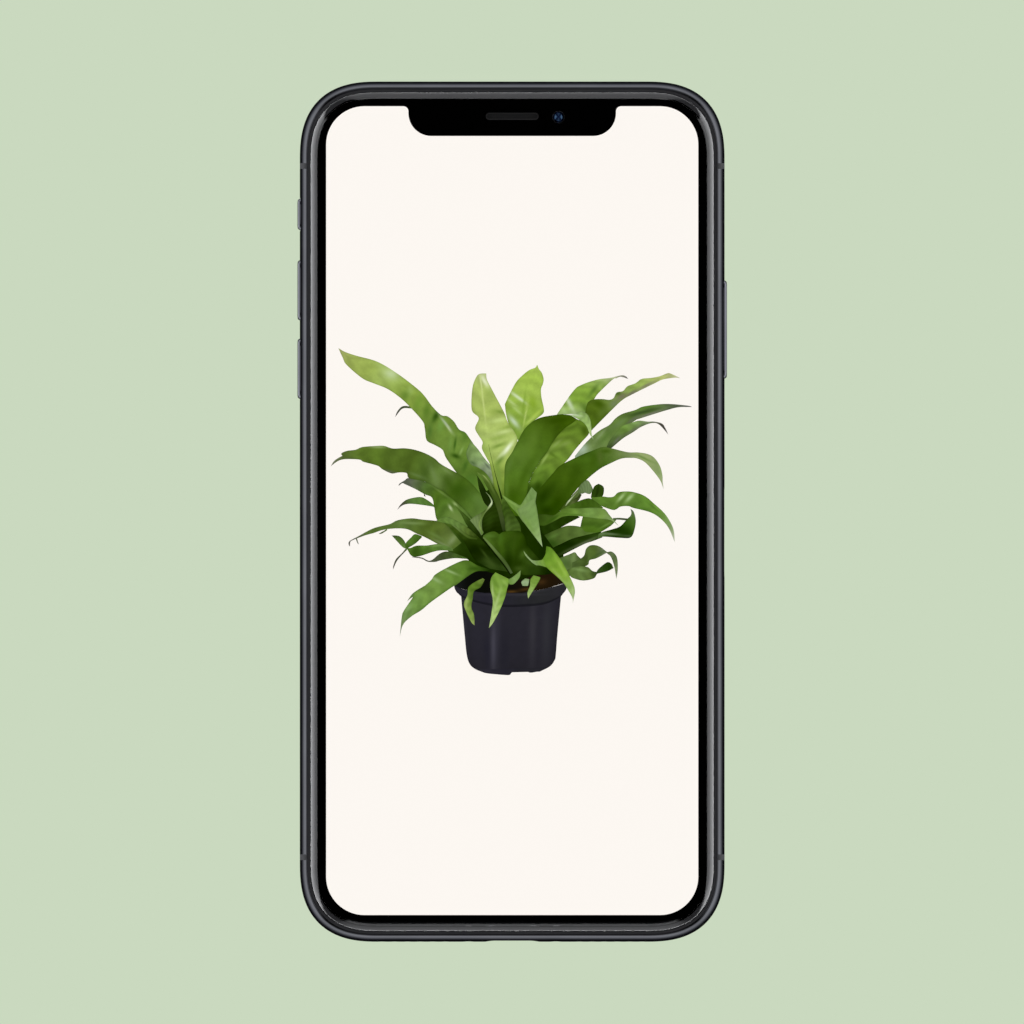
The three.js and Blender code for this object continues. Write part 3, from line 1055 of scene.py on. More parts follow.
# ---------- the metal band
@dataclass
class MetalBand:
    """The bulged metal band in four lengths, and the plastic strips that part them."""

    controls: "Controls"
    bottom: "BottomEnd"
    bulge: float = 1.6
    rise: float = 3.4
    waist: float = 0.2
    wall: float = 2.6
    seat: float = 1.25
    ledge: float = 6.6
    steps: int = 14
    lip: float = 0.22
    lip_steps: int = 8
    split: float = 57.7
    strip: float = 0.95

    def section(self) -> list[Point2]:
        """The band's section, as pairs of inset and height, closed on itself."""
        reach = math.asin(1 - (self.seat - self.lip) / self.bulge)
        upper: list[Point2] = []
        for step in range(self.steps + 1):
            angle = math.pi / 2 + (reach - math.pi / 2) * step / self.steps
            inset = self.bulge * (1 - math.sin(angle))
            height = BODY.middle + self.waist / 2 + self.rise * math.cos(angle)
            upper.append((inset, height))
        inset, height = upper[-1]
        across, along = inset - upper[-2][0], height - upper[-2][1]
        lean = math.atan2(along, across)
        turn = self.lip / (1 + math.cos(math.pi / 2 - lean)) if lean > 0 else self.lip
        centre = (self.seat - turn, height - turn * math.cos(lean))
        first = math.pi / 2 + lean
        turns = [first - first * i / self.lip_steps for i in range(1, self.lip_steps + 1)]
        lip = [(centre[0] + turn * math.cos(a), centre[1] + turn * math.sin(a)) for a in turns]
        top = upper + lip + [(self.seat, self.ledge), (self.wall, self.ledge)]
        loop = top + [(inset, BODY.thick - height) for inset, height in reversed(top)]
        return loop + loop[:1]

    def cutters(self) -> list[Piece]:
        """Everything that is cut out of the whole band."""
        return self.controls.pockets() + self.bottom.openings()

    def build(self, phone: Phone) -> None:
        """Makes the band, parts it and settles its lengths.

        Args:
            phone: takes the pieces.
        """
        ring = Workshop.rise("band", BODY.outline, self.section(), ends=False)
        Workshop.cut(ring, *self.cutters())
        upper = self.split + self.strip / 2
        lower = self.split - self.strip / 2
        for up, word in ((1, "top"), (-1, "bottom")):
            length = Workshop.copy(ring, f"{word}_band")
            Workshop.slice(length, (0, up * upper, 0), (0, -up, 0))
            phone.settle(length, Finishes.METAL, replaces=[f"band_{word}"])
        for side, word in ((-1, "left"), (1, "right")):
            half = Workshop.copy(ring, f"{word}_half")
            Workshop.slice(half, (0, 0, 0), (-side, 0, 0))
            self._span(phone, half, f"{word}_band", (-lower, lower), f"band_{word}", Finishes.METAL)
            for place, ends in (("top", (lower, upper)), ("bottom", (-upper, -lower))):
                name, node = f"{word}_{place}_strip", f"antenna_strip_{word}_{place}"
                self._span(phone, half, name, ends, node, Finishes.STRIP)
            bpy.data.objects.remove(half)
        bpy.data.objects.remove(ring)

    @staticmethod
    def _span(
        phone: Phone,
        half: Piece,
        name: str,
        ends: Point2,
        node: str,
        finish: Finish,
    ) -> None:
        """Settles the stretch of half the band between two places along Y.

        Args:
            phone: takes the piece.
            half: half of the band.
            name: the piece's name.
            ends: where it starts and ends.
            node: the solid that it stands for.
            finish: its finish.
        """
        piece = Workshop.copy(half, name)
        Workshop.slice(piece, (0, ends[0], 0), (0, -1, 0))
        Workshop.slice(piece, (0, ends[1], 0), (0, 1, 0))
        phone.settle(piece, finish, replaces=[node])


# ---------- keys, switch and tray
@dataclass
class Controls:
    """The side key, the two volume keys, the ring switch and the card tray."""

    key_places: tuple[tuple[str, str, str, int, float, float], ...] = (
        ("side_key_cap", "side_button", "side_key", 1, 30.4, 16.43),
        ("volume_up_cap", "volume_up_button", "volume_up_key", -1, 36.95, 10.1),
        ("volume_down_cap", "volume_down_button", "volume_down_key", -1, 23.85, 10.1),
    )
    key_height: float = 2.7
    proud: float = 0.4
    deep: float = 1.3
    floor: float = 1.7
    play: float = 0.15
    stem: Point2 = (4.0, 1.4)
    stem_reach: float = 2.7
    # insets and drops of a cap's outer edge
    chamfer: tuple[Point2, ...] = (
        (0.0, 0.4), (0.01, 0.37), (0.19, 0.13), (0.24, 0.09), (0.34, 0.04), (0.54, 0.012),
        (0.84, 0.0),
    )
    switch_y: float = 49.63
    switch_length: float = 5.26
    switch_height: float = 2.0
    throw: float = 1.2
    switch_stem: float = 1.2
    tray_y: float = -3.5
    tray_length: float = 14.6
    tray_height: float = 1.9
    tray_lip: float = 1.45
    tray_play: float = 0.1
    tray_reach: float = 12.6
    tray_width: float = 13.2
    tray_thick: float = 0.9
    tray_face: float = 0.03
    tray_soft: float = 0.12
    eject_radius: float = 0.5
    eject_from_end: float = 2.2
    card: Point3 = (12.3, 8.8, 0.67)
    card_rim: float = 1.4
    card_play: float = 0.08
    card_ledge: float = 0.2
    card_overlap: float = 0.8
    card_lift: float = 0.02
    card_soft: float = 0.05
    card_cut: float = 1.0

    def _cutter(self, outline: Outline, side: int, floor: float) -> Piece:
        """A straight cutter from a depth in the band outwards.

        Args:
            outline: its outline in YZ.
            side: 1 for the right side, -1 for the left.
            floor: its inner end's distance from the body's middle.

        Returns:
            The cutter.
        """
        section = [(0, side * floor), (0, side * (BODY.half_width + PAST))]
        return Workshop.rise("cutter", outline, section, Direction.SIDE)

    def pockets(self) -> list[Piece]:
        """The pockets of the keys, the switch and the tray."""
        found = []
        gap = 2 * self.play
        through = BODY.half_width - THROUGH
        floor = BODY.half_width - self.floor
        for _cap, _node, _body, side, y, length in self.key_places:
            cap = pill(length + gap, self.key_height + gap, (y, BODY.middle))
            stem = pill(self.stem[0] + gap, self.stem[1] + gap, (y, BODY.middle), 3)
            found += [self._cutter(cap, side, floor), self._cutter(stem, side, through)]
        tall = self.switch_height + self.throw + gap
        recess = self._recess(self.switch_length + gap, tall, self.switch_height / 2 + self.play)
        wide = self.switch_stem + gap
        slot = pill(wide, wide + self.throw, (self.switch_y, BODY.middle), 4)
        found += [self._cutter(recess, -1, floor), self._cutter(slot, -1, through)]
        mouth = pill(
            self.tray_length + 2 * self.tray_play,
            self.tray_height + 2 * self.tray_play,
            (self.tray_y, BODY.middle),
        )
        found.append(self._cutter(mouth, 1, through))
        return found

    def _recess(self, length: float, tall: float, corner: float) -> Outline:
        """The switch recess's outline.

        Args:
            length: its size along Y.
            tall: its size along Z.
            corner: its corners' radius.

        Returns:
            The outline.
        """
        def outline(inset: float) -> list[Point2]:
            """The recess's points, taken in by inset."""
            points = superellipse(length - 2 * inset, tall - 2 * inset, corner - inset, 2.0, 8)
            return [(self.switch_y + a, BODY.middle + b) for a, b in points]

        return outline

    def _cap(self, name: str, outline: Outline, side: int, face: float) -> Piece:
        """A key's cap with a chamfered outer edge and a faintly crowned face.

        Args:
            name: its name.
            outline: its outline in YZ.
            side: 1 for the right side, -1 for the left.
            face: how far its face stands from the body's middle.

        Returns:
            The cap.
        """
        edge = [(inset, face - drop) for inset, drop in self.chamfer]
        section = [(i, side * h) for i, h in [(0.0, BODY.half_width - self.deep), *edge]]
        return Workshop.rise(name, outline, section, Direction.SIDE)

    def _stem(self, outline: Outline, side: int) -> Piece:
        """A key's stem, which runs from its contact a little way into its cap.

        Args:
            outline: its outline in YZ.
            side: 1 for the right side, -1 for the left.

        Returns:
            The stem.
        """
        back = BODY.half_width - self.stem_reach
        front = BODY.half_width - self.deep + JOIN
        return Workshop.rise("stem", outline, [(0, side * back), (0, side * front)], Direction.SIDE)

    def build(self, phone: Phone) -> None:
        """Makes the keys, the switch, the tray and its card.

        Args:
            phone: takes the pieces.
        """
        face = BODY.half_width + self.proud
        for cap_name, node, body, side, y, length in self.key_places:
            cap = self._cap(cap_name, pill(length, self.key_height, (y, BODY.middle)), side, face)
            stem = self._stem(pill(*self.stem, (y, BODY.middle), 4), side)
            phone.settle(Workshop.join(cap_name, [stem, cap]), Finishes.KEYS, body, [node])
        centre = (self.switch_y, BODY.middle + self.throw / 2)
        knob = self._cap("knob", pill(self.switch_length, self.switch_height, centre), -1, face)
        stem = self._stem(pill(self.switch_stem, self.switch_stem - 0.001, centre, 4), -1)
        whole = Workshop.join("ring_switch_knob", [stem, knob])
        phone.settle(whole, Finishes.KEYS, "ring_slider", ["ring_switch"])
        self._tray(phone)
        self._card(phone)

    def _tray(self, phone: Phone) -> None:
        """The tray's lip and its carrier with the card's place.

        Args:
            phone: takes the piece.
        """
        face = BODY.half_width - self.tray_face
        lip_in = face - self.tray_lip
        shape = pill(self.tray_length, self.tray_height, (self.tray_y, BODY.middle))
        section = [(0.0, lip_in), *quarter_round(face, self.tray_soft, 4)]
        lip = Workshop.rise("lip", shape, section, Direction.SIDE)
        low = BODY.middle - self.tray_thick / 2
        half = self.tray_width / 2
        corner = (lip_in - self.tray_reach, self.tray_y - half, low)
        across = (lip_in + JOIN, self.tray_y + half, low + self.tray_thick)
        carrier = Workshop.block("carrier", corner, across, self.tray_soft)
        Workshop.cut(carrier, self._card_space(self.card_play, low + self.card_ledge, BODY.thick))
        Workshop.cut(carrier, self._card_space(-self.card_overlap, 0.0, BODY.thick))
        eject = self.tray_y - self.tray_length / 2 + self.eject_from_end
        hole = [(self.eject_radius, BODY.half_width + out) for out in (-1.0, 1.0)]
        Workshop.cut(lip, Workshop.turned("hole", (eject, BODY.middle), hole, 24, Direction.SIDE))
        drawer = Workshop.join("card_tray_drawer", [carrier, lip])
        phone.settle(drawer, Finishes.METAL, "card_tray", ["sim_tray"])

    def _card_space(self, grow: float, low: float, high: float) -> Piece:
        """The card's place in the tray as a box.

        Args:
            grow: how much it is grown on its sides.
            low: its lowest height.
            high: its highest height.

        Returns:
            The box.
        """
        outer = BODY.half_width - self.tray_face - self.tray_lip - self.card_rim + grow
        half = self.card[0] / 2 + grow
        corner = (outer - self.card[1] - 2 * grow, self.tray_y - half, low)
        return Workshop.block("space", corner, (outer, self.tray_y + half, high))

    def _card(self, phone: Phone) -> None:
        """The card, with one corner cut off.

        Args:
            phone: takes the piece.
        """
        low = BODY.middle - self.tray_thick / 2 + self.card_ledge + self.card_lift
        outer = BODY.half_width - self.tray_face - self.tray_lip - self.card_rim
        long, wide, thick = self.card
        inner, top = outer - wide, self.tray_y + long / 2
        corner = (inner, self.tray_y - long / 2, low)
        piece = Workshop.block("sim_card_body", corner, (outer, top, low + thick), self.card_soft)
        Workshop.slice(piece, (inner + self.card_cut, top - self.card_cut, 0), (-1, 1, 0))
        phone.settle(piece, Finishes.CARD, "card_tray", ["sim_card"])


# ---------- bottom end
@dataclass
class BottomEnd:
    """The charging port, its screws and the two rows of vents."""

    port: Point2 = (8.94, 3.2)
    port_wall: float = 0.3
    port_depth: float = 7.3
    port_recess: float = 0.35
    tongue: Point3 = (6.7, 0.7, 4.5)
    tongue_soft: float = 0.1
    pins: int = 12
    pin_edge: float = 0.6
    pin_half: float = 0.12
    pin_proud: float = 0.02
    pin_ends: Point2 = (0.35, 0.6)
    pin_soft: float = 0.015
    screw_x: float = 7.3
    head: float = 0.85
    head_deep: float = 0.7
    head_soft: float = 0.12
    shaft: float = 0.55
    bore: float = 0.08
    seat_play: float = 0.05
    screw_length: float = 2.7
    screw_recess: float = 0.15
    slot: float = 0.22
    slot_reach: float = 0.62
    slot_deep: float = 0.35
    vents: int = 6
    vent_first: float = 11.2
    vent_pitch: float = 2.1
    vent_radius: float = 0.65
    band_wall: float = 2.6
    mesh: Point2 = (0.25, 0.045)  # pitch and wire
    mesh_depth: float = 0.125

    def openings(self) -> list[Piece]:
        """What is cut out of the bottom of the band."""
        outer, inner = BODY.half_height + PAST, BODY.half_height - THROUGH
        mouth = pill(self.port[0] + 0.1, self.port[1] + 0.1, (0, BODY.middle))
        found = [Workshop.rise("mouth", mouth, [(0, inner), (0, outer)], Direction.END)]
        seat = BODY.half_height - self.screw_recess - self.head_deep - self.seat_play
        for side in (-1, 1):
            centre = (side * self.screw_x, BODY.middle)
            bores = ((self.head + self.bore, seat, 32), (self.shaft + self.bore, inner, 24))
            for radius, start, sides in bores:
                profile = [(radius, start), (radius, outer)]
                found.append(Workshop.turned("bore", centre, profile, sides, Direction.END))
            for number in range(self.vents):
                x = side * (self.vent_first + number * self.vent_pitch)
                profile = [(self.vent_radius, inner), (self.vent_radius, outer)]
                found.append(Workshop.turned("vent", (x, BODY.middle), profile, 24, Direction.END))
        return found

    def build(self, phone: Phone) -> None:
        """Makes the port, its tongue, the screws and the meshes.

        Args:
            phone: takes the pieces.
        """
        self._port(phone)
        self._tongue(phone)
        for side, word in ((-1, "left"), (1, "right")):
            self._screw(phone, side, word)
        for side, node in ((-1, "microphone_mesh"), (1, "speaker_mesh")):
            self._mesh(phone, side, node)

    def _port(self, phone: Phone) -> None:
        """The socket's shell: a pill-shaped tube with a rolled mouth, closed at its inner end.

        Args:
            phone: takes the piece.
        """
        face = BODY.half_height - self.port_recess
        back = face - self.port_depth
        wall = self.port_wall
        lip = reversed(arc((wall / 2, face - wall / 2), wall / 2, 0, 2, 8))
        section = [(0.0, back), *lip, (wall, back + wall)]
        shape = pill(*self.port, (0, BODY.middle))
        shell = Workshop.rise("port_shell", shape, section, Direction.END)
        phone.settle(shell, Finishes.STEEL, replaces=["charging_port"])

    def _tongue(self, phone: Phone) -> None:
        """The tongue with its contact pins standing a hair proud of both faces.

        Args:
            phone: takes the piece.
        """
        width, tall, reach = self.tongue
        back = -(BODY.half_height - self.port_recess) + self.port_depth - self.port_wall - 0.02
        z = BODY.middle
        corner = (-width / 2, back - reach, z - tall / 2)
        across = (width / 2, back, z + tall / 2)
        core = Workshop.block("tongue", corner, across, self.tongue_soft)
        phone.settle(core, Finishes.PLASTIC, replaces=["port_tongue"])
        pitch = (width - 2 * self.pin_edge) / (self.pins - 1)
        x, half = self.pin_edge - width / 2, tall / 2 + self.pin_proud
        corner = (x - self.pin_half, back - reach + self.pin_ends[0], z - half)
        across = (x + self.pin_half, back - self.pin_ends[1], z + half)
        pin = Workshop.block("pin", corner, across, self.pin_soft)
        pins = [Workshop.copy(pin, "pin", (n * pitch, 0, 0)) for n in range(1, self.pins)]
        phone.settle(Workshop.join("port_pins", [pin, *pins]), Finishes.COPPER)

    def _screw(self, phone: Phone, side: int, word: str) -> None:
        """A case screw with a cross recess.

        Args:
            phone: takes the piece.
            side: 1 for the right one, -1 for the left.
            word: its side in words.
        """
        face = BODY.half_height - self.screw_recess
        seat = face - self.head_deep
        centre = (side * self.screw_x, BODY.middle)
        tip = face - self.screw_length
        profile = [(0.0, tip), (self.shaft, tip), (self.shaft, seat), (self.head, seat)]
        profile += [(self.head - i, h) for i, h in quarter_round(face, self.head_soft, 4)]
        profile.append((0.0, face))
        screw = Workshop.turned(f"{word}_case_screw", centre, profile, 40, Direction.END)
        half, reach = self.slot / 2, self.head * self.slot_reach
        x, z = centre
        for wide, tall in ((reach, half), (half, reach)):
            low = (x - wide, -(face + PAST), z - tall)
            high = (x + wide, -(face - self.slot_deep), z + tall)
            Workshop.cut(screw, Workshop.block("slot", low, high))
        phone.settle(screw, Finishes.STEEL, replaces=[f"case_screw_{word}"])

    def _mesh(self, phone: Phone, side: int, node: str) -> None:
        """The woven mesh behind one side's vents.

        Args:
            phone: takes the piece.
            side: 1 for the right, -1 for the left.
            node: the solid that it stands for.
        """
        near = side * (self.vent_first - 1)
        far = side * (self.vent_first + self.vent_pitch * (self.vents - 1) + 1)
        y = -(BODY.half_height - self.band_wall) + self.mesh_depth
        rows = (BODY.middle - 1, BODY.middle + 1)
        spread = Weave((min(near, far), max(near, far)), rows, *self.mesh)
        cloth = spread.build(f"{node}_weave", Direction.END, -y)
        phone.settle(cloth, Finishes.STEEL, replaces=[node])


@dataclass
class Weave:
    """A woven wire mesh over a rectangle."""

    first: Point2
    second: Point2
    pitch: float
    wire: float

    def build(self, name: str, direction: Direction, level: float) -> Piece:
        """Weaves the wires.

        Args:
            name: the piece's name.
            direction: which way the mesh faces.
            level: its middle along that way.

        Returns:
            The mesh.
        """
        wires = []
        for across, along, phase in ((self.first, self.second, 0), (self.second, self.first, 1)):
            count = max(2, round((across[1] - across[0]) / self.pitch))
            for number in range(count):
                place = across[0] + (number + 0.5) * (across[1] - across[0]) / count
                wires.append(self._wire(place, along, phase, number, direction, level))
        return Workshop.join(name, wires)

    def _wire(
        self,
        place: float,
        along: Point2,
        phase: int,
        number: int,
        direction: Direction,
        level: float,
    ) -> Piece:
        """One wire, which passes over and under its neighbours.

        Args:
            place: where it lies across its own run.
            along: where it starts and ends.
            phase: 0 for wires along the second direction, 1 for those along the first.
            number: its place in its row.
            direction: which way the mesh faces.
            level: the mesh's middle.

        Returns:
            The wire.
        """
        steps = max(2, round((along[1] - along[0]) / self.pitch)) * 2
        rings = []
        for step in range(steps + 1):
            run = along[0] + (along[1] - along[0]) * step / steps
            over = self.wire * math.cos(math.pi * (step / 2 + number + phase))
            loop = []
            for a, b in arc((0.0, 0.0), self.wire, 0.5, 4.5, 4)[:-1]:
                pair = (place + a, run) if phase == 0 else (run, place + a)
                loop.append(direction.point(*pair, level + over + b))
            rings.append(loop)
        return Workshop.loft("wire", rings)


# ---------- the front
@dataclass
class FrontFace:
    """The cover glass, its seal, the black ink under it, the earpiece and the front camera."""

    inset: float = 1.75
    glass: float = 0.9
    rim: float = 1.25
    curve: Point2 = (1.7, 0.6)
    rim_steps: int = 18
    seal: tuple[float, ...] = (1.27, 1.7, 2.5, 0.16, 0.53)
    ledge: float = 6.6
    ink: Point3 = (2.75, 6.7, 6.78)
    ear: Point3 = (66.0, 8.93, 1.32)
    ear_mesh: Point2 = (6.85, 7.35)
    ear_play: float = 0.1
    cloth: Point2 = (0.16, 0.03)  # pitch and wire
    camera: Point2 = (7.73, 65.87)
    window: float = 2.1

    def rim_section(self) -> list[Point2]:
        """The glass's rounded rim from its flat face outwards, as pairs of inset and height."""
        reach, drop = self.curve
        start = reach - self.rim
        top = drop * math.sqrt(1 - (start / reach) ** 2)
        first = math.asin(start / reach)
        points = []
        for step in range(self.rim_steps + 1):
            angle = first + (math.pi / 2 - first) * step / self.rim_steps
            out = reach * math.sin(angle) - start
            points.append((self.inset + self.rim - out, BODY.thick - top + drop * math.cos(angle)))
        return points

    def glass_plate(self, name: str) -> Piece:
        """A glass plate, flat below and rounded over on its upper rim.

        Args:
            name: its name.

        Returns:
            The plate.
        """
        low = BODY.thick - self.glass
        soft = 0.08
        foot = [(self.inset + soft, low), (self.inset, low + soft)]
        face = (self.inset + self.rim + 2.0, BODY.thick)
        return Workshop.rise(name, BODY.outline, [*foot, *reversed(self.rim_section()), face])

    def seal_section(self) -> list[Point2]:
        """The L-shaped seal's section, closed on itself."""
        outer, inner, foot, thin, tall = self.seal
        low = self.ledge + 0.02
        soft = 0.06
        loop = [
            (outer, low), (outer, low + tall - soft), (outer + soft, low + tall),
            (inner - soft, low + tall), (inner, low + tall - soft), (inner, low + thin),
            (foot, low + thin), (foot, low),
        ]
        return loop + loop[:1]

    def build(self, phone: Phone) -> None:
        """Makes the front's pieces.

        Args:
            phone: takes the pieces.
        """
        glass = self.glass_plate("front_glass")
        y, length, width = self.ear
        slot = pill(length, width, (0, y))
        Workshop.cut(glass, Workshop.rise("slot", slot, [(0, 6.0), (0, 9.0)]))
        phone.settle(glass, Finishes.GLASS, replaces=["cover_glass"])
        seal = Workshop.rise("front_seal", BODY.outline, self.seal_section(), ends=False)
        phone.settle(seal, Finishes.SEAL, replaces=["front_gasket"])
        self._ink(phone)
        self._earpiece(phone)
        self._camera(phone)

    def _ink(self, phone: Phone) -> None:
        """The black border under the glass, open over the lit area, the earpiece and the camera.

        Args:
            phone: takes the piece.
        """
        inset, low, high = self.ink
        border = Workshop.rise("black_border", BODY.outline, [(inset, low), (inset, high)])
        through = [(0, 6.0), (0, 7.5)]
        window = Workshop.rise("window", Screen().outline, through)
        y, length, width = self.ear
        slot = Workshop.rise("slot", pill(length, width, (0, y)), through)
        bore = [(self.window / 2, height) for _, height in through]
        hole = Workshop.turned("hole", self.camera, bore, 32)
        Workshop.cut(border, window, slot, hole)
        phone.settle(border, Finishes.INK, replaces=["bezel_mask"])

    def _earpiece(self, phone: Phone) -> None:
        """The fine mesh in the earpiece's slot, in its own thin frame.

        Args:
            phone: takes the piece.
        """
        y, length, width = self.ear
        low, high = self.ear_mesh
        shape = pill(length - 2 * self.ear_play, width - 2 * self.ear_play, (0, y))
        section = [(0.0, low), (0.0, high - 0.04), (0.04, high), (0.12, high),
                   (0.14, high - 0.04), (0.14, low), (0.0, low)]
        frame = Workshop.rise("frame", shape, section, ends=False)
        floor = Workshop.rise("floor", shape, [(0.05, low), (0.05, low + 0.1)])
        half = length / 2 - self.ear_play - 0.3
        wide = width / 2 - self.ear_play - 0.12
        spread = Weave((-half, half), (y - wide, y + wide), *self.cloth)
        cloth = spread.build("cloth", Direction.UP, high - 0.12)
        whole = Workshop.join("earpiece_grille", [frame, floor, cloth])
        phone.settle(whole, Finishes.PLASTIC, replaces=["earpiece_mesh"])

    def _camera(self, phone: Phone) -> None:
        """The front camera's stepped barrel and its domed lens.

        Args:
            phone: takes the pieces.
        """
        body = [(0, 3.4), (2.2, 3.4), (2.3, 3.5), (2.3, 5.7), (1.5, 5.8), (1.5, 6.55), (1.45, 6.6),
                (0.98, 6.6), (0.93, 6.5), (0.93, 6.05), (0, 6.05)]
        barrel = Workshop.turned("front_camera_barrel", self.camera, body)
        phone.settle(barrel, Finishes.PLASTIC, replaces=["front_camera"])
        turns = [math.pi / 2 * (1 - i / 10) for i in range(11)]
        dome = [(0.88 * math.sin(a), 6.2 + 0.38 * math.cos(a)) for a in turns]
        profile = [(0, 6.08), (0.86, 6.08), (0.9, 6.12), *dome]
        lens = Workshop.turned("front_camera_lens", self.camera, profile)
        phone.settle(lens, Finishes.LENS, replaces=["front_lens"])


# ---------- the lit screen
@dataclass(frozen=True)
class Screen:
    """The lit area and its panel."""

    width: float = 62.13
    height: float = 135.03
    rise: float = 0.17
    corner: float = 6.4
    top: float = 6.6
    thick: float = 0.95
    border: float = 0.8
    notch: Point2 = (34.65, 4.97)
    notch_corner: float = 3.8
    ear: float = 0.85
    ground: Colour = srgb(252, 247, 241)

    def outline(self, inset: float) -> list[Point2]:
        """The lit area's outline with its notch.

        Args:
            inset: how far it is taken in.

        Returns:
            The points, anticlockwise.
        """
        grow = -inset
        right = self.width / 2 + grow
        top = self.rise + self.height / 2 + grow
        bottom = self.rise - self.height / 2 - grow
        corner = self.corner + grow
        side = self.notch[0] / 2 - grow
        ear = self.ear + grow
        turn = self.notch_corner - grow
        floor = self.rise + self.height / 2 - self.notch[1] + grow
        points = arc((right - corner, bottom + corner), corner, -1, 0, 16)
        points += arc((right - corner, top - corner), corner, 0, 1, 16)
        points += arc((side + ear, top - ear), ear, 1, 2, 8)
        points += arc((side - turn, floor + turn), turn, 0, -1, 12)
        points += arc((turn - side, floor + turn), turn, -1, -2, 12)
        points += arc((-side - ear, top - ear), ear, 0, 1, 8)
        points += arc((corner - right, top - corner), corner, 1, 2, 16)
        return points + arc((corner - right, bottom + corner), corner, 2, 3, 16)

    def build(self, phone: Phone) -> None:
        """Makes the panel with its plain lit ground.

        Args:
            phone: takes the piece.
        """
        section = [(-self.border, self.top - self.thick), (-self.border, self.top)]
        panel = Workshop.rise("lit_panel", self.outline, section)
        FernPicture.paint_all(panel, self.ground)
        phone.settle(panel, Finishes.DISPLAY, replaces=["display_panel"])
        phone.dress("display_backplate", Finishes.STEEL)
        FernPicture(self.top).build(phone)


Flat = tuple[float, ...]
Paint = tuple[float, float, float]
Touch = tuple[float, float, float, float, float, Paint, float]


@dataclass(frozen=True)
class Leaf:
    """One brush shape of the picture, between two edges that run from its tip to its foot.

    Edges are x and y by turns and colours are 0 to 255. A touch is a soft oval: its centre, half
    length, half width, turn in degrees, colour and strength.
    """

    upper: Flat
    lower: Flat
    colours: tuple[Paint, ...]
    rib: float = 0.5
    rib_light: float = 0.0
    ripple: float = 0.05
    waves: float = 7.0
    slant: float = 0.8
    fold: float = 0.0
    touches: tuple[Touch, ...] = ()

    RIB_WIDTH = 0.07  # as a share of the leaf's width
    EDGE_SHADE = 0.13  # how much darker the edges are
    EDGE_POWER = 12  # how close to the edges that darkening stays
    FADED = 5.0  # past this reach a touch no longer shows

    def colour(self, along: float, across: float, x: float, y: float) -> Colour:
        """The shape's colour at one point.

        Args:
            along: 0 at the tip, 1 at the foot.
            across: 0 at the upper edge, 1 at the lower one.
            x: the point, in the drawing's units.
            y: the same.

        Returns:
            The linear colour.
        """
        last = len(self.colours) - 1
        step = min(int(along * last), last - 1) if last else 0
        part = along * last - step
        second = self.colours[min(step + 1, last)]
        mixed = [a + (b - a) * part for a, b in zip(self.colours[step], second)]
        off = across - self.rib
        light = 1.0 + self.fold * (2.0 * across - 1.0)
        light += self.rib_light * math.exp(-((off / self.RIB_WIDTH) ** 2))
        light -= self.EDGE_SHADE * abs(2.0 * across - 1.0) ** self.EDGE_POWER
        light += self.ripple * math.sin(math.tau * (self.waves * along - self.slant * abs(off)))
        light += 0.05 * noise.noise((x / 26.0, y / 26.0, self.waves))
        light += 0.035 * noise.noise((x / 8.0, y / 8.0, 3.0))
        mixed = [c * light for c in mixed]
        for cx, cy, long, wide, turn, paint, strength in self.touches:
            cos, sin = math.cos(math.radians(turn)), math.sin(math.radians(turn))
            run, off = (x - cx) * cos + (y - cy) * sin, (y - cy) * cos - (x - cx) * sin
            reach = (run / long) ** 2 + (off / wide) ** 2
            if reach < self.FADED:
                share = strength * math.exp(-reach)
                mixed = [a + (b - a) * share for a, b in zip(mixed, paint)]
        return srgb(*self._tone(*mixed))

    @staticmethod
    def _tone(red: float, green: float, blue: float) -> Paint:
        """Dulls and deepens what is green, and leaves greys and browns as they are."""
        leafy = max(0.0, min(1.0, (green - red) / 15.0))
        green = red + 0.62 * (green - red)
        blue += 0.12 * leafy * (red - blue)
        return tuple(c + leafy * (0.14 * c - 20.0) for c in (red, green, blue))


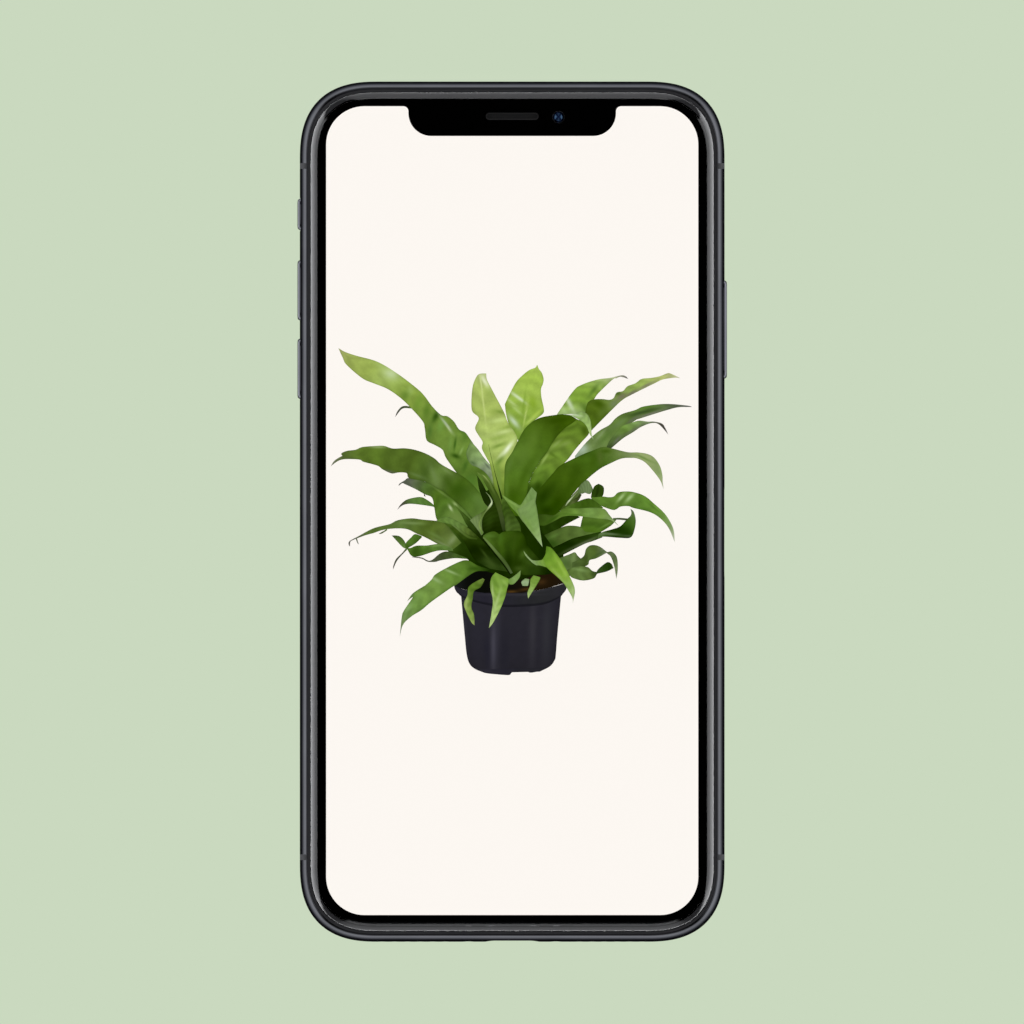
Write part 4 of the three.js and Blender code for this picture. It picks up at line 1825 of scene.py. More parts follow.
FERN: tuple[Leaf, ...] = (
    # a thin curl, and the leaves at the back on the right
    Leaf((310, 360, 318, 338, 335, 318, 352, 313, 372, 316),
         (310, 360, 340, 325, 378, 324),
         ((95, 88, 88), (70, 84, 60), (92, 112, 72)),
         ripple=0.0),
    Leaf((1272, 202, 1262, 191, 1243, 187, 1200, 197, 1143, 205, 1080, 226, 1045, 252, 977, 349),
         (1272, 202, 1241, 193, 1224, 199, 1206, 206, 1148, 262, 1129, 289, 1111, 304, 1106, 345),
         ((105, 95, 98), (172, 184, 140), (144, 182, 90), (130, 178, 62), (124, 172, 58), (150,
          185, 110)),
         ripple=0.04, fold=-0.05, touches=((1028, 300, 42, 9, 62, (205, 222, 195), 0.8), (1003,
         325, 30, 8, 60, (170, 205, 130), 0.7), (1128, 250, 34, 8, -52, (80, 125, 45), 0.6), (1100,
         330, 26, 14, 50, (75, 120, 30), 0.8))),
    Leaf((1487, 199, 1448, 180, 1432, 179, 1401, 191, 1364, 198, 1327, 202, 1301, 220, 1269, 232,
          1250, 252, 1224, 258, 1211, 281, 1193, 288, 1164, 285, 1128, 287, 1104, 302, 1094, 350,
          1100, 390),
         (1487, 199, 1464, 197, 1416, 204, 1385, 218, 1290, 265, 1248, 289, 1206, 328, 1119, 416),
         ((176, 176, 140), (176, 190, 110), (150, 184, 86), (134, 170, 80), (112, 145, 66), (84,
          118, 30), (84, 122, 32)),
         waves=9, touches=((1350, 228, 40, 6, -27, (125, 118, 105), 0.8), (1285, 262, 30, 7, -28,
         (110, 100, 95), 0.85), (1243, 275, 22, 12, -35, (115, 105, 95), 0.75), (1212, 305, 20, 14,
         -45, (120, 140, 100), 0.7), (1150, 305, 26, 18, 30, (70, 108, 15), 0.8), (1165, 340, 26,
         12, -50, (95, 130, 50), 0.7), (1230, 262, 12, 8, 0, (70, 105, 35), 0.7))),
    Leaf((1535, 318, 1516, 312, 1427, 305, 1337, 315, 1301, 330, 1248, 346, 1219, 365, 1195, 391,
          1158, 412, 1127, 436, 1090, 473, 1052, 520),
         (1535, 318, 1480, 319, 1427, 332, 1322, 365, 1300, 374, 1237, 420, 1211, 446, 1195, 478,
          1175, 490, 1100, 520, 1052, 535),
         ((85, 85, 85), (94, 116, 76), (100, 140, 62), (96, 134, 56), (104, 140, 66), (112, 146,
          76), (150, 180, 145)),
         waves=6, touches=((1330, 340, 60, 8, -14, (55, 85, 38), 0.75), (1360, 347, 60, 5, -17,
         (118, 112, 108), 0.85), (1290, 372, 36, 8, -35, (100, 105, 92), 0.7), (1340, 318, 50, 6,
         -10, (95, 150, 50), 0.7), (1235, 385, 40, 9, -38, (110, 145, 85), 0.6), (1180, 440, 40,
         10, -50, (85, 128, 50), 0.6), (1160, 430, 36, 5, -50, (140, 165, 120), 0.5), (1085, 490,
         20, 18, -50, (165, 190, 165), 0.8))),
    Leaf((1437, 431, 1424, 403, 1411, 386, 1379, 378, 1353, 378, 1316, 374, 1285, 383, 1242, 400,
          1196, 456, 1182, 484),
         (1437, 431, 1400, 391, 1370, 384, 1327, 399, 1290, 423, 1248, 449, 1200, 490),
         ((78, 70, 70), (74, 70, 62), (120, 142, 100), (118, 156, 84), (106, 150, 62), (90, 122,
          60), (68, 92, 48)),
         fold=-0.12, touches=((1290, 415, 50, 5, -30, (105, 110, 92), 0.8), (1225, 455, 24, 6, -50,
         (110, 118, 100), 0.8))),
    # the upright leaf in the middle at the back
    Leaf((896, 142, 889, 155, 864, 165, 837, 186, 806, 220, 766, 299, 764, 315, 769, 352, 782, 394,
          817, 455),
         (896, 142, 903, 160, 916, 178, 923, 204, 919, 225, 912, 244, 914, 278, 924, 325, 921, 344,
          900, 362, 872, 383, 850, 410, 830, 455),
         ((160, 195, 85), (158, 200, 76), (158, 198, 80), (140, 184, 66), (130, 174, 62), (120,
          165, 60)),
         rib=0.55, ripple=0.03, touches=((808, 272, 34, 6, 38, (200, 222, 175), 0.85), (790, 298,
         34, 5, 38, (185, 212, 140), 0.75), (828, 285, 30, 5, 38, (205, 225, 185), 0.8), (812, 330,
         32, 6, 42, (175, 208, 125), 0.7), (800, 378, 34, 11, 50, (190, 215, 180), 0.9), (848, 350,
         46, 3, 101, (190, 215, 120), 0.8), (842, 300, 50, 5, 98, (120, 165, 50), 0.6), (895, 345,
         34, 7, -38, (170, 210, 80), 0.8), (870, 372, 30, 6, -38, (185, 215, 110), 0.6), (878, 300,
         30, 16, 80, (125, 172, 35), 0.6))),
    # the soil and the pot
    Leaf((553, 1052, 570, 1026, 606, 1002, 690, 986, 780, 990, 870, 996, 950, 1000, 1000, 1018,
          1020, 1042),
         (553, 1054, 575, 1064, 612, 1074, 690, 1088, 774, 1090, 853, 1082, 936, 1066, 990, 1050,
          1020, 1044),
         ((28, 30, 32), (15, 18, 13), (12, 14, 9), (14, 12, 9), (20, 12, 9), (31, 15, 8), (32, 15,
          8), (28, 18, 16)),
         ripple=0.0, touches=((790, 1080, 26, 6, -3, (96, 48, 24), 0.8), (846, 1070, 26, 6, -8,
         (84, 38, 20), 0.7), (915, 1040, 20, 12, -10, (70, 34, 22), 0.7))),
    Leaf((581, 1085, 597, 1260, 605, 1337, 617, 1377, 640, 1399, 680, 1415),
         (996, 1085, 980, 1254, 973, 1343, 968, 1363, 949, 1388, 907, 1410),
         ((40, 38, 46), (40, 38, 46), (40, 38, 46), (39, 37, 45), (38, 36, 44), (37, 35, 42), (36,
          34, 40)),
         ripple=0.0, touches=((650, 1200, 150, 30, 90, (42, 40, 50), 0.6), (716, 1300, 130, 14, 91,
         (74, 72, 84), 0.75), (735, 1230, 170, 12, 91, (50, 48, 58), 0.6), (690, 1330, 80, 14, 88,
         (34, 33, 44), 0.7), (760, 1330, 110, 20, 90, (34, 33, 42), 0.6), (878, 1230, 150, 16, 91,
         (56, 54, 60), 0.65), (935, 1240, 150, 20, 92, (48, 48, 53), 0.8), (600, 1230, 150, 8, 86,
         (52, 50, 60), 0.5))),
    Leaf((645, 1396, 720, 1400, 800, 1396, 880, 1396, 930, 1392),
         (645, 1400, 680, 1415, 729, 1421, 779, 1424, 788, 1417, 806, 1406, 850, 1404, 858, 1410,
          866, 1414, 880, 1413, 914, 1406, 935, 1396),
         ((38, 37, 44), (42, 40, 50), (38, 36, 46), (36, 35, 42), (38, 37, 43), (36, 35, 41)),
         ripple=0.0),
    Leaf((556, 1066, 600, 1092, 660, 1118, 742, 1133, 833, 1133, 925, 1124, 985, 1098, 1010, 1076),
         (562, 1078, 590, 1104, 660, 1128, 742, 1142, 833, 1142, 925, 1132, 985, 1106, 1008, 1082),
         ((30, 30, 36), (26, 26, 32), (27, 26, 33), (26, 25, 31), (27, 27, 32), (26, 26, 30), (30,
          30, 34)),
         ripple=0.0),
    Leaf((553, 1052, 575, 1064, 612, 1074, 690, 1086, 774, 1089, 853, 1082, 936, 1066, 1022, 1042),
         (554, 1060, 560, 1076, 578, 1092, 650, 1118, 742, 1133, 833, 1133, 925, 1124, 985, 1100,
          1010, 1080, 1022, 1054),
         ((40, 38, 46), (38, 36, 45), (37, 35, 45), (37, 35, 44), (38, 38, 42), (40, 41, 42), (40,
          40, 43), (42, 40, 46)),
         ripple=0.0, touches=((780, 1092, 120, 4, 0, (64, 62, 70), 0.5), (900, 1078, 70, 4, -14,
         (62, 60, 68), 0.5), (720, 1112, 20, 30, 0, (50, 48, 58), 0.4))),
    # the dark mass behind the middle
    Leaf((470, 690, 520, 690, 580, 690, 640, 640, 700, 610, 760, 590, 830, 640, 900, 720, 960, 770,
          1000, 850),
         (488, 790, 516, 860, 524, 906, 560, 936, 608, 946, 640, 982, 700, 1000, 770, 1022, 830,
          1030, 880, 1014, 940, 1008, 1008, 990),
         ((92, 132, 48), (80, 118, 40), (48, 80, 20), (36, 64, 14), (38, 66, 16), (40, 68, 16),
          (34, 60, 12), (36, 62, 16)),
         ripple=0.03),
    # the long leaf at the upper left, its underside and what lies under it
    Leaf((76, 75, 105, 91, 153, 107, 237, 131, 321, 181, 400, 241, 432, 273, 463, 315, 500, 351,
          526, 356, 553, 378, 574, 410, 600, 423, 621, 452, 647, 489, 700, 557, 718, 594, 730,
          640),
         (76, 75, 95, 117, 110, 144, 174, 199, 221, 220, 274, 241, 316, 268, 358, 304, 421, 373,
          432, 404, 437, 446, 447, 462, 474, 475, 505, 494, 516, 520, 532, 546, 605, 646, 640,
          690),
         ((150, 160, 98), (152, 176, 84), (152, 180, 82), (156, 188, 92), (142, 178, 74), (130,
          166, 64), (114, 154, 58), (110, 150, 56), (112, 154, 60), (104, 148, 54), (88, 128, 44),
          (104, 152, 58)),
         ripple=0.03, waves=11, slant=1.4, fold=-0.02, touches=((292, 178, 34, 24, 30, (190, 215,
         160), 0.85), (262, 150, 40, 14, 25, (165, 198, 105), 0.6), (372, 250, 14, 20, 20, (160,
         195, 110), 0.5), (352, 270, 18, 22, 20, (92, 138, 45), 0.6), (405, 300, 16, 34, 20, (112,
         165, 55), 0.6), (440, 330, 14, 30, 10, (85, 135, 40), 0.6), (478, 356, 12, 26, 28, (52,
         98, 24), 0.85), (498, 395, 14, 30, 20, (118, 172, 70), 0.8), (520, 388, 40, 5, 52, (172,
         190, 165), 0.9), (532, 408, 22, 4, 58, (180, 200, 150), 0.8), (452, 420, 12, 36, 10, (72,
         120, 45), 0.6), (585, 415, 22, 9, 50, (72, 125, 38), 0.7), (600, 440, 14, 18, 30, (84,
         138, 42), 0.7), (557, 470, 5, 26, 8, (58, 108, 28), 0.8), (538, 470, 8, 40, 6, (120, 172,
         72), 0.6), (583, 500, 5, 18, 25, (142, 185, 95), 0.8), (560, 520, 20, 9, 20, (48, 92, 18),
         0.85), (600, 560, 10, 26, 20, (60, 108, 32), 0.6), (625, 620, 26, 26, 0, (88, 142, 50),
         0.7))),
    Leaf((622, 458, 652, 492, 679, 530, 705, 562, 727, 620, 724, 645),
         (612, 480, 604, 505, 608, 531, 626, 557, 653, 568, 690, 597, 716, 645),
         ((108, 145, 75), (122, 160, 88), (132, 168, 102), (136, 160, 118), (132, 156, 112), (104,
          138, 60)),
         ripple=0.06, waves=5, fold=-0.1, touches=((690, 560, 22, 4, 50, (85, 100, 80), 0.7), (630,
         548, 12, 5, 30, (70, 105, 55), 0.7))),
    # the yellow-green leaf that stands in the middle
    Leaf((686, 179, 658, 181, 645, 194, 632, 225, 626, 268, 625, 320, 632, 341, 655, 364, 640, 404,
          653, 433, 671, 462, 668, 489, 689, 531, 703, 562, 722, 662, 736, 720, 750, 800),
         (686, 179, 689, 204, 710, 246, 760, 341, 774, 378, 805, 425, 815, 457, 805, 499, 790, 546,
          780, 590, 776, 670, 785, 800),
         ((170, 186, 124), (166, 192, 98), (162, 190, 92), (162, 190, 94), (168, 198, 102), (164,
          194, 98), (140, 174, 72), (114, 150, 54), (92, 126, 42), (66, 98, 28)),
         rib=0.4, ripple=0.035, waves=8, slant=-1.2, touches=((680, 212, 30, 9, 60, (228, 236,
         200), 0.85), (664, 215, 34, 3, 80, (205, 220, 150), 0.8), (674, 300, 90, 3.5, 83, (195,
         215, 130), 0.75), (700, 262, 16, 30, -20, (148, 182, 80), 0.5), (742, 338, 20, 7, 15,
         (112, 152, 52), 0.7), (716, 340, 18, 14, 0, (140, 175, 70), 0.5), (742, 372, 40, 10, -8,
         (192, 222, 128), 0.8), (775, 400, 30, 7, -15, (130, 170, 62), 0.6), (760, 420, 36, 8, -12,
         (194, 222, 136), 0.75), (735, 445, 40, 7, -14, (140, 180, 72), 0.6), (735, 478, 32, 8,
         -20, (112, 152, 55), 0.75), (772, 492, 38, 9, -52, (232, 243, 215), 0.95), (750, 512, 26,
         6, -45, (195, 220, 150), 0.7), (742, 540, 26, 9, -50, (98, 142, 48), 0.7), (735, 580, 12,
         34, -10, (112, 155, 60), 0.6), (680, 500, 18, 40, -10, (142, 182, 78), 0.6), (742, 640, 8,
         60, -6, (120, 160, 70), 0.5))),
    Leaf((696, 470, 700, 500, 748, 705, 758, 760),
         (697, 470, 702, 500, 726, 600, 757, 705, 768, 760),
         ((140, 170, 80), (90, 120, 46), (62, 92, 32), (48, 76, 24), (40, 66, 20), (38, 60, 18)),
         ripple=0.0),
    # the leaves on the left
    Leaf((324, 644, 328, 634, 350, 620, 366, 611, 420, 622, 480, 648, 540, 690, 600, 745, 640,
          800),
         (324, 644, 340, 632, 352, 637, 395, 657, 432, 678, 462, 692, 472, 735, 488, 790, 560,
          830),
         ((80, 84, 76), (98, 110, 86), (84, 122, 52), (84, 126, 38), (86, 130, 44), (98, 140, 58),
          (100, 142, 62)),
         touches=((500, 670, 40, 4, 35, (118, 150, 78), 0.7), (539, 735, 15, 5, 58, (215, 230,
         190), 0.9), (558, 719, 14, 5, 42, (165, 195, 125), 0.8), (560, 772, 40, 24, 40, (114, 150,
         70), 0.8))),
    Leaf((318, 743, 332, 721, 354, 702, 387, 692, 420, 690, 448, 705, 470, 722),
         (318, 743, 334, 728, 354, 719, 387, 718, 461, 728, 475, 735),
         ((70, 60, 62), (72, 75, 58), (92, 138, 62), (95, 145, 62), (92, 140, 58), (80, 125, 50)),
         ripple=0.03),
    Leaf((428, 674, 433, 680),
         (430, 686, 436, 688),
         ((50, 60, 40), (60, 80, 45)),
         ripple=0.0),
    Leaf((45, 562, 58, 541, 79, 526, 93, 518, 87, 510, 110, 499, 147, 494, 174, 483, 221, 479, 263,
          478, 300, 489, 347, 488, 390, 494, 437, 510, 474, 531, 505, 557, 605, 615, 668, 683, 700,
          730),
         (45, 562, 74, 541, 105, 533, 163, 535, 179, 544, 237, 560, 258, 575, 295, 592, 326, 588,
          358, 591, 368, 612, 432, 626, 505, 665, 590, 736, 630, 780),
         ((110, 112, 95), (92, 118, 56), (96, 130, 46), (94, 130, 44), (87, 119, 42), (86, 118,
          40), (88, 124, 48), (104, 140, 64), (74, 112, 32), (84, 126, 42), (98, 140, 58)),
         waves=8, slant=0.6, fold=-0.03, touches=((240, 482, 40, 6, 0, (155, 182, 120), 0.75),
         (285, 585, 34, 6, 12, (98, 102, 92), 0.8), (430, 580, 12, 50, -20, (75, 112, 38), 0.45),
         (470, 598, 12, 46, -20, (115, 148, 82), 0.6), (400, 600, 40, 6, 20, (112, 145, 85), 0.5),
         (530, 630, 16, 40, -30, (68, 106, 28), 0.7), (570, 660, 30, 34, 40, (62, 104, 22), 0.75),
         (610, 680, 40, 16, 45, (72, 115, 35), 0.5), (655, 705, 40, 22, 50, (96, 138, 60), 0.75),
         (520, 580, 30, 4, 35, (120, 150, 90), 0.5))),
    # the broad leaf in the middle: its lighter half, its darker half and its turned tip
    Leaf((1060, 368, 1006, 409, 969, 451, 937, 504, 906, 546, 874, 599, 856, 657, 850, 700),
         (1060, 368, 1085, 378, 1101, 397, 1111, 425, 1080, 462, 1053, 494, 1021, 536, 950, 610,
          926, 640, 905, 670, 900, 720),
         ((96, 136, 40), (98, 138, 42), (108, 148, 48), (112, 154, 54), (108, 150, 50), (98, 142,
          45), (68, 108, 28), (46, 76, 16)),
         ripple=0.07, slant=1.0, touches=((1092, 418, 12, 22, 0, (70, 104, 22), 0.8), (1012, 470,
         26, 9, -20, (128, 162, 76), 0.7), (975, 470, 26, 7, -40, (138, 170, 90), 0.7), (960, 515,
         30, 6, 35, (78, 116, 30), 0.6), (925, 535, 34, 5, -58, (150, 185, 95), 0.85), (905, 575,
         30, 10, -55, (112, 162, 55), 0.7), (885, 620, 26, 12, -60, (105, 150, 50), 0.6), (900,
         650, 22, 14, -60, (52, 88, 16), 0.8))),
    Leaf((1060, 368, 1042, 357, 1016, 348, 974, 350, 900, 365, 848, 404, 817, 457, 793, 504, 767,
          546, 761, 599, 763, 700, 790, 760, 836, 770),
         (1060, 368, 1040, 385, 1006, 409, 969, 451, 937, 504, 906, 546, 874, 599, 857, 657, 842,
          770),
         ((72, 108, 20), (66, 104, 16), (74, 112, 26), (84, 128, 34), (92, 136, 44), (88, 134, 40),
          (84, 128, 34), (74, 118, 26), (66, 108, 18)),
         ripple=0.035, waves=5, touches=((990, 372, 50, 12, -8, (58, 94, 12), 0.7), (880, 450, 24,
         50, 15, (98, 140, 46), 0.7), (840, 510, 24, 60, 18, (96, 138, 48), 0.6), (880, 540, 18,
         50, 28, (76, 118, 28), 0.6), (838, 610, 14, 60, 20, (70, 112, 22), 0.6), (780, 560, 12,
         50, 20, (100, 140, 60), 0.5), (800, 690, 26, 30, 0, (62, 104, 16), 0.7), (770, 660, 8, 40,
         0, (96, 140, 55), 0.5))),
    Leaf((1129, 452, 1121, 430, 1118, 383, 1106, 351, 1079, 336, 1040, 349, 1004, 347),
         (1129, 452, 1114, 432, 1100, 398, 1080, 377, 1036, 354, 1004, 348),
         ((170, 195, 150), (165, 200, 120), (150, 192, 105), (140, 182, 95), (140, 182, 100), (165,
          195, 140), (200, 218, 185)),
         fold=0.05, touches=((1060, 352, 22, 4, 10, (200, 220, 180), 0.7),)),
    # the broad dark leaf that bends to the right
    Leaf((1418, 657, 1414, 625, 1413, 599, 1403, 562, 1380, 528, 1353, 512, 1311, 505, 1269, 504,
          1195, 486, 1164, 483, 1121, 499, 1080, 515, 995, 557, 964, 588, 927, 631, 897, 672, 890,
          735, 902, 800),
         (1418, 657, 1400, 615, 1348, 552, 1311, 531, 1280, 528, 1243, 531, 1195, 552, 1148, 578,
          1080, 636, 1048, 673, 985, 752, 960, 800),
         ((160, 170, 135), (136, 166, 100), (150, 172, 108), (130, 156, 96), (98, 132, 58), (76,
          122, 32), (74, 116, 28), (76, 116, 25), (68, 106, 22), (60, 100, 20), (52, 88, 16)),
         ripple=0.04, waves=6, touches=((1340, 530, 40, 5, 25, (95, 140, 55), 0.6), (1180, 500, 26,
         10, 0, (60, 100, 14), 0.6), (1155, 530, 12, 36, -10, (92, 118, 50), 0.6), (1125, 545, 16,
         40, 15, (68, 106, 22), 0.6), (1050, 590, 20, 50, 30, (62, 100, 18), 0.6), (1030, 650, 20,
         60, 30, (58, 96, 16), 0.6), (960, 650, 20, 60, 30, (56, 92, 18), 0.6), (920, 690, 22, 50,
         25, (40, 72, 12), 0.7), (975, 720, 24, 40, 30, (44, 80, 4), 0.6), (935, 745, 30, 20, 0,
         (36, 66, 8), 0.6))),
    # the leaf with the bright ripples at the right, and the knobs beside it
    Leaf((985, 756, 1003, 725, 1080, 640),
         (990, 758, 1048, 714, 1074, 676, 1090, 668),
         ((62, 92, 28), (76, 106, 40), (84, 112, 52), (98, 128, 66)),
         ripple=0.0),
    Leaf((1012, 725, 1024, 705, 1066, 662),
         (1014, 727, 1050, 684, 1068, 666),
         ((140, 165, 110), (190, 208, 165), (140, 160, 110), (110, 136, 80)),
         ripple=0.0),
    Leaf((1024, 728, 1044, 700, 1062, 690, 1074, 674),
         (1030, 732, 1054, 716, 1068, 702, 1080, 680),
         ((84, 120, 48), (90, 112, 56), (62, 76, 36), (66, 86, 40)),
         ripple=0.0),
    Leaf((1126, 656, 1116, 634, 1102, 619, 1086, 628, 1068, 648, 1064, 668),
         (1125, 664, 1116, 676, 1104, 676, 1094, 672, 1082, 676, 1070, 674),
         ((100, 130, 76), (112, 142, 88), (106, 136, 82), (92, 122, 68))),
    Leaf((1149, 634, 1130, 648, 1118, 688, 1125, 702),
         (1149, 634, 1166, 643, 1172, 655, 1168, 682, 1150, 706),
         ((64, 94, 34), (56, 88, 26), (54, 86, 24), (62, 98, 30)),
         rib=0.45, rib_light=-0.25, ripple=0.0),
    Leaf((1464, 876, 1461, 834, 1450, 801, 1422, 757, 1378, 716, 1340, 685, 1295, 669, 1257, 666,
          1229, 671, 1212, 687, 1190, 690, 1168, 687, 1140, 690, 1118, 690),
         (1464, 876, 1439, 818, 1406, 779, 1362, 752, 1295, 735, 1273, 727, 1240, 729, 1223, 740,
          1205, 742, 1163, 727, 1130, 708),
         ((185, 194, 170), (150, 172, 124), (118, 164, 76), (106, 158, 58), (98, 150, 52), (96,
          144, 52), (96, 142, 50), (94, 142, 48), (92, 138, 48)),
         ripple=0.04, fold=-0.04, touches=((1243, 690, 24, 7, -48, (172, 210, 138), 0.85), (1278,
         692, 26, 8, -45, (168, 206, 135), 0.85), (1380, 735, 40, 5, 38, (76, 132, 38), 0.5),
         (1440, 800, 34, 6, 62, (112, 160, 80), 0.6), (1350, 745, 40, 5, 20, (70, 125, 36), 0.5))),
    # the low leaves on the left
    Leaf((243, 840, 268, 826, 275, 820),
         (243, 842, 256, 840, 278, 826),
         ((90, 105, 70), (100, 130, 70)),
         ripple=0.0),
    Leaf((158, 884, 152, 874, 148, 862),
         (160, 884, 156, 872, 153, 860),
         ((90, 95, 80), (90, 110, 65)),
         ripple=0.0),
    Leaf((124, 893, 119, 888, 118, 877, 126, 868, 160, 850, 221, 818, 287, 801, 320, 785, 376, 777,
          420, 782, 475, 787, 508, 794, 535, 820, 584, 878),
         (124, 893, 125, 876, 134, 868, 182, 849, 221, 838, 260, 825, 310, 819, 359, 822, 398, 840,
          437, 857, 505, 893, 546, 908),
         ((100, 92, 90), (98, 106, 84), (92, 122, 58), (90, 124, 52), (94, 128, 58), (98, 132, 62),
          (92, 124, 52), (88, 118, 42), (92, 120, 48), (100, 128, 60), (92, 126, 50)),
         ripple=0.04, touches=((380, 797, 50, 6, 2, (125, 158, 90), 0.75), (480, 850, 40, 7, 28,
         (112, 150, 74), 0.6), (545, 868, 12, 30, 40, (134, 158, 104), 0.75), (500, 880, 40, 5, 28,
         (130, 155, 105), 0.6))),
    Leaf((296, 848, 315, 848, 332, 853, 348, 870, 360, 898),
         (296, 848, 340, 895, 356, 902),
         ((70, 90, 55), (82, 120, 50), (88, 130, 52), (110, 150, 75)),
         fold=0.08, ripple=0.02),
    Leaf((420, 850, 392, 842, 376, 856, 354, 879, 352, 898),
         (420, 856, 395, 880, 360, 902),
         ((72, 115, 36), (80, 128, 42), (84, 132, 46), (70, 110, 36)),
         fold=-0.1, ripple=0.02),
    Leaf((301, 989, 303, 972, 314, 945, 337, 922, 356, 898),
         (301, 989, 321, 948, 362, 904),
         ((80, 65, 65), (75, 80, 60), (70, 80, 58), (90, 95, 75), (100, 125, 72)),
         ripple=0.0),
    Leaf((356, 898, 372, 900, 398, 890, 442, 889, 486, 883, 519, 890, 545, 900),
         (362, 908, 378, 932, 409, 934, 486, 911, 550, 912),
         ((90, 135, 50), (70, 115, 34), (84, 132, 45), (92, 138, 52), (96, 140, 60), (100, 140,
          65)),
         fold=-0.05, waves=4, touches=((400, 912, 20, 12, 0, (62, 105, 30), 0.7), (480, 890, 40, 4,
         -4, (130, 165, 95), 0.6))),
    Leaf((381, 935, 420, 939, 455, 952, 497, 921, 530, 914, 575, 928, 610, 942),
         (381, 938, 420, 944, 444, 956, 475, 957, 497, 951, 553, 942, 610, 945),
         ((85, 90, 75), (70, 78, 58), (80, 90, 65), (72, 96, 50), (76, 110, 46), (70, 112, 40)),
         ripple=0.04),
    # the stems and leaves in the middle
    Leaf((508, 793, 585, 862, 612, 905, 640, 950, 700, 985),
         (560, 790, 620, 830, 662, 850, 700, 890, 745, 935, 790, 1000),
         ((80, 116, 40), (66, 98, 28), (54, 84, 22), (34, 56, 14), (42, 68, 20), (58, 88, 32)),
         touches=((640, 905, 40, 20, 40, (32, 54, 12), 0.8), (680, 925, 26, 5, 52, (74, 104, 40),
         0.7), (700, 960, 34, 16, 35, (76, 106, 44), 0.7))),
    Leaf((520, 790, 545, 800, 580, 822, 618, 850, 650, 858),
         (520, 796, 545, 806, 605, 856, 648, 866),
         ((120, 150, 86), (108, 142, 70), (84, 116, 44), (62, 92, 28)),
         ripple=0.0),
    Leaf((480, 785, 520, 770, 570, 790, 610, 815, 650, 850),
         (488, 792, 530, 800, 560, 812, 600, 840, 645, 858),
         ((96, 138, 55), (104, 146, 64), (104, 144, 66), (90, 120, 48), (56, 82, 26))),
    Leaf((556, 722, 622, 782, 660, 824, 700, 858, 732, 904, 770, 955, 800, 1005),
         (556, 724, 584, 764, 606, 806, 642, 842, 690, 890, 720, 928, 746, 958, 782, 1008),
         ((92, 130, 50), (70, 104, 36), (50, 78, 24), (34, 54, 14), (30, 50, 12), (26, 44, 12),
          (28, 46, 16))),
    Leaf((618, 785, 640, 768, 663, 755, 700, 730),
         (632, 800, 655, 830, 672, 842, 704, 738),
         ((112, 142, 82), (114, 144, 82), (88, 120, 50), (68, 102, 34)),
         ripple=0.04),
    Leaf((640, 590, 662, 620, 684, 660, 700, 700, 706, 726),
         (648, 600, 655, 650, 668, 690, 680, 716, 700, 735),
         ((56, 84, 30), (48, 74, 24), (40, 64, 20), (38, 60, 18), (42, 66, 20)),
         ripple=0.0),
    Leaf((706, 700, 720, 715, 748, 740, 765, 790, 770, 830),
         (690, 740, 672, 775, 668, 800, 672, 830, 690, 840),
         ((48, 74, 22), (48, 74, 20), (48, 76, 20), (40, 62, 16), (34, 56, 14)),
         ripple=0.04, touches=((700, 785, 14, 34, 10, (58, 90, 26), 0.6),)),
    Leaf((648, 585, 690, 610, 722, 655, 748, 715, 768, 825),
         (652, 594, 676, 625, 724, 722, 754, 832),
         ((104, 140, 60), (84, 118, 44), (72, 104, 34), (70, 100, 34), (74, 98, 42), (70, 90, 46),
          (52, 72, 32)),
         ripple=0.0, touches=((682, 608, 36, 3, 50, (156, 186, 100), 0.85), (710, 655, 26, 3, 62,
         (120, 150, 72), 0.7))),
    Leaf((684, 668, 700, 684, 712, 708, 706, 728, 685, 752, 668, 778, 662, 805, 674, 838),
         (684, 670, 698, 688, 706, 708, 698, 724, 662, 778, 654, 806, 668, 844),
         ((120, 146, 92), (140, 166, 110), (196, 216, 168), (124, 152, 84), (98, 130, 58), (120,
          154, 76), (128, 164, 82), (100, 140, 60)),
         ripple=0.0),
    Leaf((760, 690, 776, 722, 822, 796, 830, 832),
         (748, 700, 752, 745, 762, 790, 768, 832, 800, 838),
         ((84, 120, 44), (66, 100, 32), (66, 98, 32), (76, 110, 42), (72, 104, 36)),
         ripple=0.06, touches=((775, 800, 10, 30, 0, (92, 124, 58), 0.6),)),
    Leaf((672, 850, 690, 838, 713, 831, 728, 834, 740, 842, 758, 832, 800, 828, 828, 832, 846, 856,
          866, 900, 905, 945, 940, 990),
         (680, 862, 702, 884, 730, 908, 770, 968, 788, 1004, 806, 1010, 820, 1004, 850, 1012, 930,
          1010),
         ((84, 122, 44), (72, 110, 32), (68, 106, 26), (62, 100, 24), (54, 88, 18), (46, 76, 16),
          (56, 88, 24), (46, 74, 20), (34, 58, 14)),
         waves=5, touches=((700, 850, 26, 8, 0, (92, 140, 52), 0.6), (745, 855, 10, 30, 0, (80,
         130, 40), 0.6), (800, 850, 26, 14, 0, (66, 100, 26), 0.6), (800, 895, 7, 50, 5, (66, 100,
         28), 0.5), (780, 960, 24, 44, 0, (34, 60, 12), 0.75), (838, 925, 14, 22, 30, (84, 124,
         42), 0.75), (860, 958, 24, 12, 30, (66, 102, 32), 0.7), (880, 870, 26, 30, 0, (26, 56, 8),
         0.8), (820, 985, 20, 12, 0, (80, 112, 44), 0.6), (880, 995, 30, 14, 0, (50, 84, 24),
         0.7))),
    Leaf((674, 852, 700, 876, 765, 950, 796, 1002),
         (672, 858, 756, 962, 786, 1006),
         ((104, 138, 66), (110, 144, 74), (92, 124, 58), (78, 108, 50), (86, 110, 66)),
         ripple=0.0),
    # the leaves of the middle that reach to the right
    Leaf((908, 800, 1008, 765, 1045, 762, 1070, 770),
         (912, 830, 925, 845, 964, 832, 1022, 799, 1072, 773),
